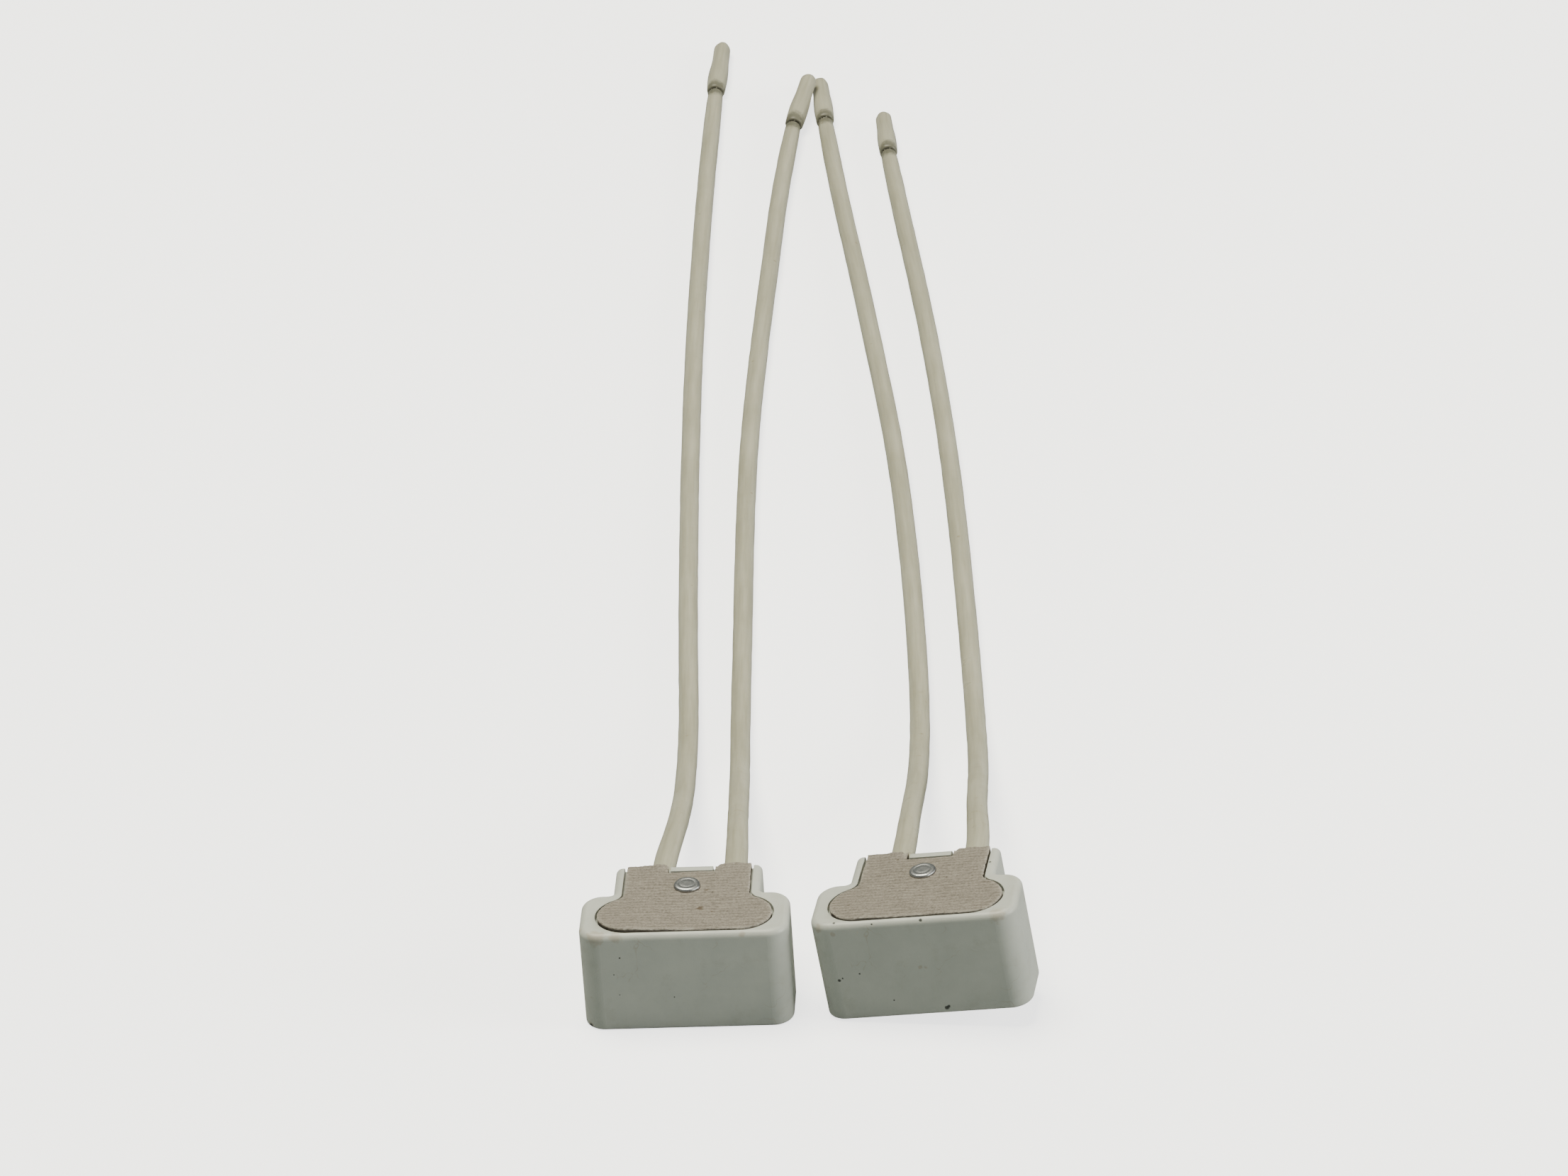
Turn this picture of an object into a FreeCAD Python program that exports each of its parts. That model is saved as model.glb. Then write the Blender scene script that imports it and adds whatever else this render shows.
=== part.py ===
import FreeCAD, Part
import math
import os

import Sketcher
from FreeCAD import Placement, Rotation, Vector

# Pair of two-pin ceramic lampholders with flexible leads.
# Frame: +Z up, the holders stand on z = 0 with their leads running towards +Y.
# The origin is under the middle of the two holders. Lengths are in millimetres.

doc = FreeCAD.newDocument("lampholder_pair")
dims = doc.addObject("Spreadsheet::Sheet", "dims")

drivingDimensions = [
    ("bodyWidth", 30.0, "ceramic body, across the front"),
    ("bodyHeight", 15.9, "ceramic body, underside to rim"),
    ("wideDepth", 11.4, "depth of the wide front block"),
    ("bodyDepth", 19.0, "front face to rear face"),
    ("neckWidth", 21.2, "rear block, side to side"),
    ("cornerRadius", 3.0, "upright corners of the front block"),
    ("neckCornerRadius", 1.0, "upright rear corners"),
    ("innerCornerRadius", 0.8, "where neck and front block meet"),
    ("rimRadius", 0.9, "top outer edge"),
    ("baseRadius", 0.5, "bottom outer edge"),
    ("floorThickness", 3.0, "ceramic under the chambers"),
    ("frontWall", 2.0, "ceramic before the chambers"),
    ("chamberReach", 12.2, "chamber side wall from the middle plane"),
    ("chamberFrontEnd", 9.8, "rear end of the wide part of a chamber"),
    ("chamberRearReach", 8.9, "side wall of the rear part of a chamber"),
    ("chamberRearEnd", 14.5, "rear end of a chamber"),
    ("webHalf", 2.0, "half thickness of the web between the chambers"),
    ("rivetWebHalf", 2.3, "half thickness of the web at the rivet"),
    ("coverWidth", 25.0, "cover board, across its rounded front"),
    ("coverDepth", 8.7, "cover board, depth of its rounded front"),
    ("coverFront", 1.15, "front face of the body to the board"),
    ("coverNeckWidth", 18.0, "cover board over the neck"),
    ("coverEnd", 18.9, "rear edge of the board"),
    ("coverInnerRadius", 2.2, "hollow corner of the board"),
    ("coverThickness", 0.9, "board"),
    ("coverGap", 0.35, "gap round the board"),
    ("recessDepth", 0.95, "step that the board lies in"),
    ("notchLeft", 3.0, "rear notch of the board, left of the middle"),
    ("notchRight", 3.8, "rear notch of the board, right of the middle"),
    ("notchDepth", 2.0, "rear notch of the board, front to back"),
    ("rivetBack", 12.9, "rivet from the front face"),
    ("rivetRadius", 1.2, "rivet shank"),
    ("rivetHoleRadius", 1.3, "rivet hole"),
    ("rivetHeadRadius", 1.9, "rivet head"),
    ("rivetHeadHeight", 0.55, "rivet head above the board"),
    ("rivetTailRadius", 2.2, "rolled end of the rivet"),
    ("rivetTailThickness", 0.5, "rolled end of the rivet"),
    ("rivetBoreRadius", 0.75, "hollow end of the rivet"),
    ("rivetBoreTop", 4.2, "height that the hollow reaches"),
    ("counterboreRadius", 2.6, "pocket for the rolled end"),
    ("counterboreDepth", 1.6, "pocket for the rolled end"),
    ("pinCircleRadius", 5.0, "lamp pins from the keyhole centre"),
    ("keyholeBack", 5.9, "keyhole centre from the front face"),
    ("entryRadius", 2.75, "round entry of a keyhole"),
    ("slotHalf", 1.7, "half width of a keyhole's curved slot"),
    ("slotSweep", 25.0, "twist that locks a lamp, degrees"),
    ("leadRadius", 1.55, "insulated lead"),
    ("channelRadius", 1.8, "groove that a lead lies in"),
    ("leadHeight", 13.35, "lead axis where it leaves the body"),
    ("leftGrooveAcross", 4.4, "left groove from the middle plane"),
    ("rightGrooveAcross", 6.5, "right groove from the middle plane"),
    ("grooveSlack", 0.2, "sideways play that a left groove's lead has taken up"),
    ("leadStart", 15.0, "end of the insulation inside the groove"),
    ("strandRadius", 0.55, "bundle of bare strands"),
    ("crimpRadius", 1.15, "crimp barrel outside"),
    ("crimpBoreRadius", 0.6, "crimp barrel inside"),
    ("crimpFront", 10.6, "front end of the crimp barrel"),
    ("crimpLength", 3.0, "crimp barrel"),
    ("strandFront", 10.2, "front end of the crimped strands"),
    ("plateFront", 12.2, "upright plate of a terminal, front face"),
    ("plateThickness", 0.5, "upright plate of a terminal"),
    ("plateBottom", 8.2, "lower edge of the upright plate"),
    ("cheekGap", 0.1, "contact leaf to cheek"),
    ("cheekThickness", 0.35, "cheeks that carry the pivot pin"),
    ("cheekDepth", 1.3, "cheeks, front to back"),
    ("pivotBack", 12.35, "pivot axis from the front face"),
    ("pivotHeight", 6.9, "pivot axis above the underside"),
    ("pinRadius", 0.4, "pivot pin"),
    ("eyeRadius", 0.85, "rolled eye of the contact leaf"),
    ("eyeBoreRadius", 0.5, "bore of the rolled eye"),
    ("leafWidth", 3.2, "contact leaf"),
    ("leafThickness", 0.4, "contact leaf"),
    ("leafFront", 3.3, "free end of the contact leaf"),
    ("springWidth", 2.4, "spring leaf"),
    ("springThickness", 0.2, "spring leaf"),
    ("springFront", 4.1, "front end of the spring leaf"),
    ("springTail", 11.0, "front face of the spring's upturned tail"),
    ("springTailHeight", 2.3, "upturned tail"),
    ("studRadius", 1.0, "contact stud"),
    ("studDrop", 0.6, "contact stud below the leaf"),
    ("studShankRadius", 0.5, "contact stud in the leaf"),
    ("studTop", 0.35, "contact stud above the spring"),
    ("slugBoreRadius", 0.6, "hole in a slug that the strands fill"),
    ("tipGap", 2.6, "bare strands between lead and slug"),
    ("tipCover", 2.5, "slug beyond the strands"),
    ("tipRadius", 0.9, "rounded tip of a slug"),
    ("leftHolderAcross", 17.56, "left holder's middle plane, to the left of the origin"),
    ("leftHolderForward", 8.7, "left holder's front face, before the origin"),
    ("holderSpacing", 34.4, "left holder to right holder, sideways"),
    ("holderStagger", 0.7, "left holder to right holder, forwards"),
    ("rightTurn", 6.6, "right holder turned clockwise, degrees"),
    ("rightTilt", 6.9, "right holder raised at its right side, degrees"),
]

for row, (alias, number, note) in enumerate(drivingDimensions, start=1):
    dims.set(f"A{row}", note)
    dims.set(f"B{row}", str(number))
    dims.setAlias(f"B{row}", alias)
doc.recompute()


class Size:
    """A length together with the spreadsheet formula that gives it."""

    def __init__(self, value, text=None):
        self.value = float(value)
        self.text = text if text is not None else repr(float(value))

    def join(self, other, sign, value):
        return Size(value, f"({self.text} {sign} {other.text})")

    def __add__(self, other):
        other = asSize(other)
        return self.join(other, "+", self.value + other.value)

    def __sub__(self, other):
        other = asSize(other)
        return self.join(other, "-", self.value - other.value)

    def __mul__(self, other):
        other = asSize(other)
        return self.join(other, "*", self.value * other.value)

    def __truediv__(self, other):
        other = asSize(other)
        return self.join(other, "/", self.value / other.value)

    def __neg__(self):
        return Size(-self.value, f"(0 - {self.text})")


def asSize(number):
    return number if isinstance(number, Size) else Size(number)


class Cells:
    """Every driving dimension as a Size, by its alias."""

    def __init__(self):
        for alias, number, _ in drivingDimensions:
            setattr(self, alias, Size(number, f"dims.{alias}"))


d = Cells()
recessFloor = d.bodyHeight - d.recessDepth
coverTop = recessFloor + d.coverThickness
leafTop = d.pivotHeight - d.eyeRadius + d.leafThickness


def bind(item, prop, size):
    """Drive one property of an object from the spreadsheet."""
    item.setExpression(prop, asSize(size).text)


def sine(degrees):
    return Size(math.sin(math.radians(degrees.value)), f"sin({degrees.text} * 1 deg)")


def cosine(degrees):
    return Size(math.cos(math.radians(degrees.value)), f"cos({degrees.text} * 1 deg)")


# ---- sketches and features -------------------------------------------------

def newBody(name):
    body = doc.addObject("PartDesign::Body", name)
    body.Label = name
    return body


def newSketch(body, name, plane, offset):
    """A sketch on an origin plane of its body, moved along the plane's normal."""
    sketch = body.newObject("Sketcher::SketchObject", name)
    base = [item for item in body.Origin.OriginFeatures if item.Role == plane][0]
    sketch.AttachmentSupport = [(base, "")]
    sketch.MapMode = "FlatFace"
    bind(sketch, "AttachmentOffset.Base.z", offset)
    return sketch


def fixPoint(sketch, shape, point, name, x, y):
    """Hold one point of a sketch at x, y from the sketch's origin."""
    for kind, size in (("DistanceX", asSize(x)), ("DistanceY", asSize(y))):
        rule = sketch.addConstraint(Sketcher.Constraint(kind, -1, 1, shape, point, size.value))
        sketch.renameConstraint(rule, f"{name}{kind[-1]}")
        bind(sketch, f"Constraints.{name}{kind[-1]}", size)


def polygon(body, name, corners, offset=0.0, plane="XY_Plane"):
    """A closed outline of straight edges, each corner held by the spreadsheet."""
    sketch = newSketch(body, name, plane, offset)
    points = [Vector(asSize(x).value, asSize(y).value, 0) for x, y in corners]
    for start, end in zip(points, points[1:] + points[:1]):
        sketch.addGeometry(Part.LineSegment(start, end), False)
    for i, (x, y) in enumerate(corners):
        sketch.addConstraint(Sketcher.Constraint("Coincident", i - 1 if i else len(corners) - 1, 2, i, 1))
        fixPoint(sketch, i, 1, f"corner{i}", x, y)
    return sketch


def circle(body, name, x, y, radius, offset=0.0, plane="XY_Plane"):
    sketch = newSketch(body, name, plane, offset)
    centre = Vector(asSize(x).value, asSize(y).value, 0)
    sketch.addGeometry(Part.Circle(centre, Vector(0, 0, 1), radius.value), False)
    fixPoint(sketch, 0, 3, "centre", x, y)
    rule = sketch.addConstraint(Sketcher.Constraint("Radius", 0, radius.value))
    sketch.renameConstraint(rule, "radius")
    bind(sketch, "Constraints.radius", radius)
    return sketch


def stadium(body, name, reach, middle, radius, offset):
    """Two half circles joined by straight edges: reach is the half distance of their centres."""
    sketch = newSketch(body, name, "XY_Plane", offset)
    right = Vector(reach.value, middle.value, 0)
    left = Vector(-reach.value, middle.value, 0)
    up = Vector(0, radius.value, 0)
    normal = Vector(0, 0, 1)
    half = math.pi / 2
    sketch.addGeometry(Part.ArcOfCircle(Part.Circle(right, normal, radius.value), -half, half), False)
    sketch.addGeometry(Part.LineSegment(right + up, left + up), False)
    sketch.addGeometry(Part.ArcOfCircle(Part.Circle(left, normal, radius.value), half, 3 * half), False)
    sketch.addGeometry(Part.LineSegment(left - up, right - up), False)
    for first, second in ((0, 1), (1, 2), (2, 3), (3, 0)):
        sketch.addConstraint(Sketcher.Constraint("Tangent", first, 2, second, 1))
    fixPoint(sketch, 0, 3, "right", reach, middle)
    fixPoint(sketch, 2, 3, "left", -reach, middle)
    rule = sketch.addConstraint(Sketcher.Constraint("Radius", 0, radius.value))
    sketch.renameConstraint(rule, "radius")
    bind(sketch, "Constraints.radius", radius)
    return sketch


def pad(body, sketch, height):
    feature = body.newObject("PartDesign::Pad", sketch.Name + "_pad")
    feature.Profile = sketch
    bind(feature, "Length", height)
    return settle(feature)


def pocket(body, sketch, depth):
    """Cut from the sketch down, against its normal, and make sure that it removed something."""
    before = body.Shape.Volume
    feature = body.newObject("PartDesign::Pocket", sketch.Name + "_cut")
    feature.Profile = sketch
    bind(feature, "Length", depth)
    settle(feature)
    if body.Shape.Volume > before - 0.01:
        raise RuntimeError(f"{feature.Name} cuts nothing")
    return feature


def settle(feature):
    doc.recompute()
    if "Invalid" in feature.State or "Error" in feature.State:
        raise RuntimeError(f"{feature.Name} failed: {feature.State}")
    return feature


def uprightEdges(shape, corners, reach=0.2):
    """Names of the upright edges that stand at the given x, y corners."""
    found = []
    for number, edge in enumerate(shape.Edges, start=1):
        ends = [vertex.Point for vertex in edge.Vertexes]
        if len(ends) != 2 or math.dist(ends[0][:2], ends[1][:2]) > 1e-6:
            continue
        if any(math.dist(ends[0][:2], corner) < reach for corner in corners):
            found.append(f"Edge{number}")
    return found


def levelEdges(shape, height):
    """Names of the edges that lie wholly at one height."""
    found = []
    for number, edge in enumerate(shape.Edges, start=1):
        box = edge.BoundBox
        if abs(box.ZMin - height) < 1e-4 and abs(box.ZMax - height) < 1e-4:
            found.append(f"Edge{number}")
    return found


def fillet(body, name, edges, radius):
    tip = body.Tip
    feature = body.newObject("PartDesign::Fillet", f"{body.Name}_{name}")
    feature.Base = (tip, edges)
    bind(feature, "Radius", radius)
    return settle(feature)


def rectangle(x0, x1, y0, y1):
    return [(x0, y0), (x1, y0), (x1, y1), (x0, y1)]


# ---- ceramic body, cover and rivet -----------------------------------------

def makeCeramicBody(name):
    body = newBody(name)
    half = d.bodyWidth / 2
    neck = d.neckWidth / 2
    pad(body, polygon(body, name + "_front", rectangle(-half, half, 0, d.wideDepth)), d.bodyHeight)
    neckOutline = rectangle(-neck, neck, d.wideDepth / 2, d.bodyDepth)
    pad(body, polygon(body, name + "_neck", neckOutline), d.bodyHeight)

    w, n = half.value, neck.value
    frontCorners = [(-w, 0), (w, 0), (-w, d.wideDepth.value), (w, d.wideDepth.value)]
    fillet(body, "corners", uprightEdges(body.Shape, frontCorners), d.cornerRadius)
    rearCorners = [(-n, d.bodyDepth.value), (n, d.bodyDepth.value)]
    fillet(body, "rear_corners", uprightEdges(body.Shape, rearCorners), d.neckCornerRadius)
    hollowCorners = [(-n, d.wideDepth.value), (n, d.wideDepth.value)]
    fillet(body, "hollow_corners", uprightEdges(body.Shape, hollowCorners), d.innerCornerRadius)
    fillet(body, "rim", levelEdges(body.Shape, d.bodyHeight.value), d.rimRadius)
    fillet(body, "base", levelEdges(body.Shape, 0.0), d.baseRadius)

    # Step for the cover board. A land of full height is left between the two lead grooves.
    endRadius = d.coverDepth / 2 + d.coverGap
    endReach = d.coverWidth / 2 - d.coverDepth / 2
    coverMiddle = d.coverFront + d.coverDepth / 2
    step = stadium(body, name + "_step", endReach, coverMiddle, endRadius, d.bodyHeight)
    pocket(body, step, d.recessDepth)
    side = d.coverNeckWidth / 2 + d.coverGap
    landFront = d.coverEnd - d.notchDepth + d.coverGap
    landLeft = -(d.notchLeft - d.coverGap)
    landRight = d.notchRight - d.coverGap
    past = d.bodyDepth + 1
    stepNeck = [(-side, coverMiddle), (side, coverMiddle), (side, past), (landRight, past),
                (landRight, landFront), (landLeft, landFront), (landLeft, past), (-side, past)]
    pocket(body, polygon(body, name + "_step_neck", stepNeck, d.bodyHeight), d.recessDepth)
    meet = coverMiddle.value + math.sqrt(endRadius.value ** 2 - (side.value - endReach.value) ** 2)
    meeting = [(-side.value, meet), (side.value, meet)]
    fillet(body, "step_corners", uprightEdges(body.Shape, meeting), d.coverInnerRadius - d.coverGap)

    depth = recessFloor - d.floorThickness
    for sign, hand in ((-1, "left"), (1, "right")):
        chamber = [(d.webHalf * sign, d.frontWall), (d.chamberReach * sign, d.frontWall),
                   (d.chamberReach * sign, d.chamberFrontEnd),
                   (d.chamberRearReach * sign, d.chamberFrontEnd),
                   (d.chamberRearReach * sign, d.chamberRearEnd),
                   (d.rivetWebHalf * sign, d.chamberRearEnd),
                   (d.rivetWebHalf * sign, d.chamberFrontEnd),
                   (d.webHalf * sign, d.chamberFrontEnd)]
        pocket(body, polygon(body, f"{name}_{hand}_chamber", chamber, recessFloor), depth)

    for across, hand in ((-d.leftGrooveAcross, "left"), (d.rightGrooveAcross, "right")):
        length = d.bodyDepth - d.chamberRearEnd + 1
        back = -(d.chamberRearEnd - 0.5)
        groove = circle(body, f"{name}_{hand}_groove", across, d.leadHeight, d.channelRadius,
                        back, "XZ_Plane")
        pocket(body, groove, length + 0.5)
        sides = rectangle(across - d.channelRadius, across + d.channelRadius,
                          d.chamberRearEnd - 0.5, d.coverEnd - d.notchDepth)
        pocket(body, polygon(body, f"{name}_{hand}_groove_top", sides, recessFloor),
               recessFloor - d.leadHeight)

    cutKeyholes(body, name)
    hole = circle(body, name + "_rivet_hole", 0, d.rivetBack, d.rivetHoleRadius, recessFloor)
    pocket(body, hole, recessFloor)
    bore = circle(body, name + "_counterbore", 0, d.rivetBack, d.counterboreRadius, d.counterboreDepth)
    pocket(body, bore, d.counterboreDepth)
    return body


def cutKeyholes(body, name):
    """Two twist-lock keyholes: a round entry and a slot curved about the middle between them."""
    for sign, hand in ((-1, "left"), (1, "right")):
        entryAcross = d.pinCircleRadius * sign
        entry = circle(body, f"{name}_{hand}_entry", entryAcross, d.keyholeBack, d.entryRadius,
                       d.floorThickness)
        pocket(body, entry, d.floorThickness)
        inner = (d.pinCircleRadius - d.slotHalf) * sign
        outer = (d.pinCircleRadius + d.slotHalf) * sign
        section = polygon(body, f"{name}_{hand}_slot", rectangle(inner, outer, 0, d.floorThickness),
                          -d.keyholeBack, "XZ_Plane")
        before = body.Shape.Volume
        slot = body.newObject("PartDesign::Groove", section.Name + "_cut")
        slot.Profile = section
        slot.ReferenceAxis = (section, ["V_Axis"])
        bind(slot, "Angle", d.slotSweep)
        settle(slot)
        if body.Shape.Volume > before - 0.01:
            raise RuntimeError(f"{slot.Name} cuts nothing")
        endAcross = d.pinCircleRadius * cosine(d.slotSweep) * sign
        endBack = d.keyholeBack + d.pinCircleRadius * sine(d.slotSweep) * sign
        end = circle(body, f"{name}_{hand}_slot_end", endAcross, endBack, d.slotHalf, d.floorThickness)
        pocket(body, end, d.floorThickness)


def makeCoverPlate(name):
    body = newBody(name)
    reach = d.coverWidth / 2 - d.coverDepth / 2
    middle = d.coverFront + d.coverDepth / 2
    pad(body, stadium(body, name + "_front", reach, middle, d.coverDepth / 2, recessFloor),
        d.coverThickness)
    side = d.coverNeckWidth / 2
    notchFront = d.coverEnd - d.notchDepth
    neck = [(-side, middle), (side, middle), (side, d.coverEnd), (d.notchRight, d.coverEnd),
            (d.notchRight, notchFront), (-d.notchLeft, notchFront), (-d.notchLeft, d.coverEnd),
            (-side, d.coverEnd)]
    pad(body, polygon(body, name + "_neck", neck, recessFloor), d.coverThickness)
    radius = d.coverDepth.value / 2
    meet = middle.value + math.sqrt(radius ** 2 - (side.value - reach.value) ** 2)
    meeting = [(-side.value, meet), (side.value, meet)]
    fillet(body, "hollow_corners", uprightEdges(body.Shape, meeting), d.coverInnerRadius)
    hole = circle(body, name + "_rivet_hole", 0, d.rivetBack, d.rivetHoleRadius, coverTop)
    pocket(body, hole, d.coverThickness)
    return body


def makeRivet(name):
    """A semi-tubular rivet: flat domed head, shank, and a hollow end rolled outwards."""
    body = newBody(name)
    headTop = coverTop + d.rivetHeadHeight
    rollTop = d.counterboreDepth
    rollBottom = d.counterboreDepth - d.rivetTailThickness
    profile = [(0, headTop), (0, d.rivetBoreTop + d.rivetBoreRadius / 2), (d.rivetBoreRadius, d.rivetBoreTop),
               (d.rivetBoreRadius, rollBottom - 0.3), (d.rivetRadius, rollBottom - 0.3),
               (d.rivetTailRadius, rollBottom), (d.rivetTailRadius, rollTop),
               (d.rivetRadius, rollTop), (d.rivetRadius, coverTop), (d.rivetHeadRadius, coverTop),
               (d.rivetHeadRadius, headTop)]
    sketch = polygon(body, name + "_profile", profile, -d.rivetBack, "XZ_Plane")
    turned = body.newObject("PartDesign::Revolution", name + "_turned")
    turned.Profile = sketch
    turned.ReferenceAxis = (sketch, ["V_Axis"])
    turned.Angle = 360
    settle(turned)
    fillet(body, "dome", levelEdges(body.Shape, headTop.value), d.rivetHeadHeight * 0.8)
    return body


# ---- terminals and contacts ------------------------------------------------

def box(name, x, y, z, width, depth, height):
    item = doc.addObject("Part::Box", name)
    for prop, size in (("Length", width), ("Width", depth), ("Height", height),
                       ("Placement.Base.x", x), ("Placement.Base.y", y), ("Placement.Base.z", z)):
        bind(item, prop, size)
    return item


def cylinder(name, x, y, z, radius, height, turn=None):
    item = doc.addObject("Part::Cylinder", name)
    if turn is not None:
        item.Placement = Placement(Vector(), turn)
    for prop, size in (("Radius", radius), ("Height", height), ("Placement.Base.x", x),
                       ("Placement.Base.y", y), ("Placement.Base.z", z)):
        bind(item, prop, size)
    return item


alongX = Rotation(Vector(0, 1, 0), 90)
alongY = Rotation(Vector(1, 0, 0), -90)


def fuse(name, items):
    joined = doc.addObject("Part::MultiFuse", name)
    joined.Shapes = items
    joined.Refine = True
    joined.Label = name
    return settle(joined)


def cut(name, base, tool):
    result = doc.addObject("Part::Cut", name)
    result.Base = base
    result.Tool = tool
    result.Label = name
    return settle(result)


def makeTerminal(name, leadAcross, sign):
    """A crimp barrel on an upright plate, whose two cheeks stand on the floor and hold a pin."""
    leafLeft = d.pinCircleRadius * sign - d.leafWidth / 2
    leafRight = d.pinCircleRadius * sign + d.leafWidth / 2
    leftCheek = leafLeft - d.cheekGap - d.cheekThickness
    rightCheek = leafRight + d.cheekGap
    barrelRight = leadAcross + d.crimpRadius
    plateLeft = leftCheek
    plateRight = rightCheek + d.cheekThickness
    if barrelRight.value > plateRight.value:
        plateRight = barrelRight
    cheekBack = d.pivotBack - d.cheekDepth / 2
    cheekHeight = d.plateBottom + 0.4 - d.floorThickness
    parts = [
        cylinder(name + "_barrel", leadAcross, d.crimpFront, d.leadHeight, d.crimpRadius,
                 d.crimpLength, alongY),
        box(name + "_plate", plateLeft, d.plateFront, d.plateBottom, plateRight - plateLeft,
            d.plateThickness, d.leadHeight - d.plateBottom),
        box(name + "_left_cheek", leftCheek, cheekBack, d.floorThickness, d.cheekThickness,
            d.cheekDepth, cheekHeight),
        box(name + "_right_cheek", rightCheek, cheekBack, d.floorThickness, d.cheekThickness,
            d.cheekDepth, cheekHeight),
        cylinder(name + "_pin", leftCheek, d.pivotBack, d.pivotHeight, d.pinRadius,
                 rightCheek + d.cheekThickness - leftCheek, alongX),
    ]
    solid = fuse(name + "_solid", parts)
    bore = cylinder(name + "_bore", leadAcross, d.crimpFront - 1, d.leadHeight, d.crimpBoreRadius,
                    d.crimpLength + 2, alongY)
    return cut(name, solid, bore)


def makeContactLeaf(name, sign):
    """A strip with a rolled eye at its rear end, pierced for the contact stud."""
    left = d.pinCircleRadius * sign - d.leafWidth / 2
    bottom = d.pivotHeight - d.eyeRadius
    strip = box(name + "_strip", left, d.leafFront, bottom, d.leafWidth,
                d.pivotBack - d.leafFront, d.leafThickness)
    eye = cylinder(name + "_eye", left, d.pivotBack, d.pivotHeight, d.eyeRadius, d.leafWidth, alongX)
    bore = cylinder(name + "_eye_bore", left - 1, d.pivotBack, d.pivotHeight, d.eyeBoreRadius,
                    d.leafWidth + 2, alongX)
    rolled = cut(name + "_rolled", fuse(name + "_solid", [strip, eye]), bore)
    hole = cylinder(name + "_hole", d.pinCircleRadius * sign, d.keyholeBack, bottom - 1,
                    d.studShankRadius, d.leafThickness + 2)
    return cut(name, rolled, hole)


def makeSpringLeaf(name, sign):
    """A narrower spring strip on top of the contact leaf, with an upturned tail."""
    left = d.pinCircleRadius * sign - d.springWidth / 2
    strip = box(name + "_strip", left, d.springFront, leafTop, d.springWidth,
                d.springTail + d.springThickness - d.springFront, d.springThickness)
    tail = box(name + "_tail", left, d.springTail, leafTop, d.springWidth, d.springThickness,
               d.springTailHeight)
    hole = cylinder(name + "_hole", d.pinCircleRadius * sign, d.keyholeBack, leafTop - 1,
                    d.studShankRadius, d.springThickness + 2)
    return cut(name, fuse(name + "_solid", [strip, tail]), hole)


def makeContactStud(name, sign):
    """A small rivet whose round head meets the lamp pin."""
    across = d.pinCircleRadius * sign
    bottom = d.pivotHeight - d.eyeRadius
    head = cylinder(name + "_head", across, d.keyholeBack, bottom - d.studDrop, d.studRadius, d.studDrop)
    shank = cylinder(name + "_shank", across, d.keyholeBack, bottom - d.studDrop / 2, d.studShankRadius,
                     d.studDrop / 2 + d.leafThickness + d.springThickness + d.studTop)
    top = cylinder(name + "_top", across, d.keyholeBack, leafTop + d.springThickness,
                   d.studShankRadius * 1.6, d.studTop)
    solid = fuse(name + "_solid", [head, shank, top])
    rounded = doc.addObject("Part::Fillet", name)
    rounded.Base = solid
    edges = levelEdges(solid.Shape, (bottom - d.studDrop).value)
    round_ = d.studDrop.value * 0.7
    rounded.Edges = [(int(edge[4:]), round_, round_) for edge in edges]
    rounded.Label = name
    return settle(rounded)


def makeCrimpedStrands(name, leadAcross):
    body = newBody(name)
    end = circle(body, name + "_end", leadAcross, d.leadHeight, d.strandRadius, -d.leadStart, "XZ_Plane")
    pad(body, end, d.leadStart - d.strandFront)
    return body



# ---- leads -----------------------------------------------------------------

# Routes of the four leads, from the end of the insulation inside the groove to the stripped end,
# in the part's own frame: out of the holder, down to the surface and along it.
leadRoutes = {
    "left_outer": [(-21.76, 6.3, 13.35), (-21.76, 15.3, 13.35), (-20.6, 27, 11.9), (-20.8, 42, 7.6),
                   (-21.5, 58, 2.9), (-22.2, 76, 1.55), (-23.6, 98, 1.55), (-25.2, 128, 1.55),
                   (-26.9, 164, 1.55), (-28.5, 206, 1.55), (-29.5, 250, 1.55), (-29.9, 280, 1.55),
                   (-30, 303.4, 1.55)],
    "left_inner": [(-11.06, 6.3, 13.35), (-11.06, 15.3, 13.35), (-11.7, 27, 11.9), (-12.5, 43, 7.3),
                   (-13.5, 60, 2.6), (-14.4, 79, 1.55), (-15.2, 102, 1.55), (-16.4, 132, 1.55),
                   (-17.4, 168, 1.55), (-17.2, 206, 1.55), (-16.7, 236, 1.55), (-16.4, 263, 1.6),
                   (-15.1, 287, 2.1)],
    "right_inner": [(12.43, 6.21, 14.45), (13.46, 15.15, 14.45), (13.7, 27, 13), (14, 42, 8.6),
                    (13.8, 58, 3.6), (13.4, 76, 1.55), (12.3, 98, 1.55), (10.3, 127, 1.55),
                    (7.2, 162, 1.55), (2.1, 202, 1.55), (-2.4, 236, 1.55), (-6.3, 264, 1.55),
                    (-9.3, 289.4, 1.55)],
    "right_outer": [(23.38, 4.94, 15.78), (24.41, 13.88, 15.78), (23.5, 26, 14.4), (23.3, 42, 9.6),
                    (22.7, 59, 4), (21.7, 78, 1.55), (20.3, 101, 1.55), (18.3, 131, 1.55),
                    (15.6, 165, 1.55), (12.1, 199, 1.55), (8.6, 228, 1.55), (5.3, 253, 1.55),
                    (2.6, 275.2, 1.55)],
}
# Where the axis of each insulation slug ends. The left inner one rests on the right inner one.
leadTips = {"left_outer": (-29.56, 325.7, 1.55), "left_inner": (-12.85, 303.4, 3.9),
            "right_inner": (-11.1, 308.3, 1.55), "right_outer": (1.2, 293, 1.55)}


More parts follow.
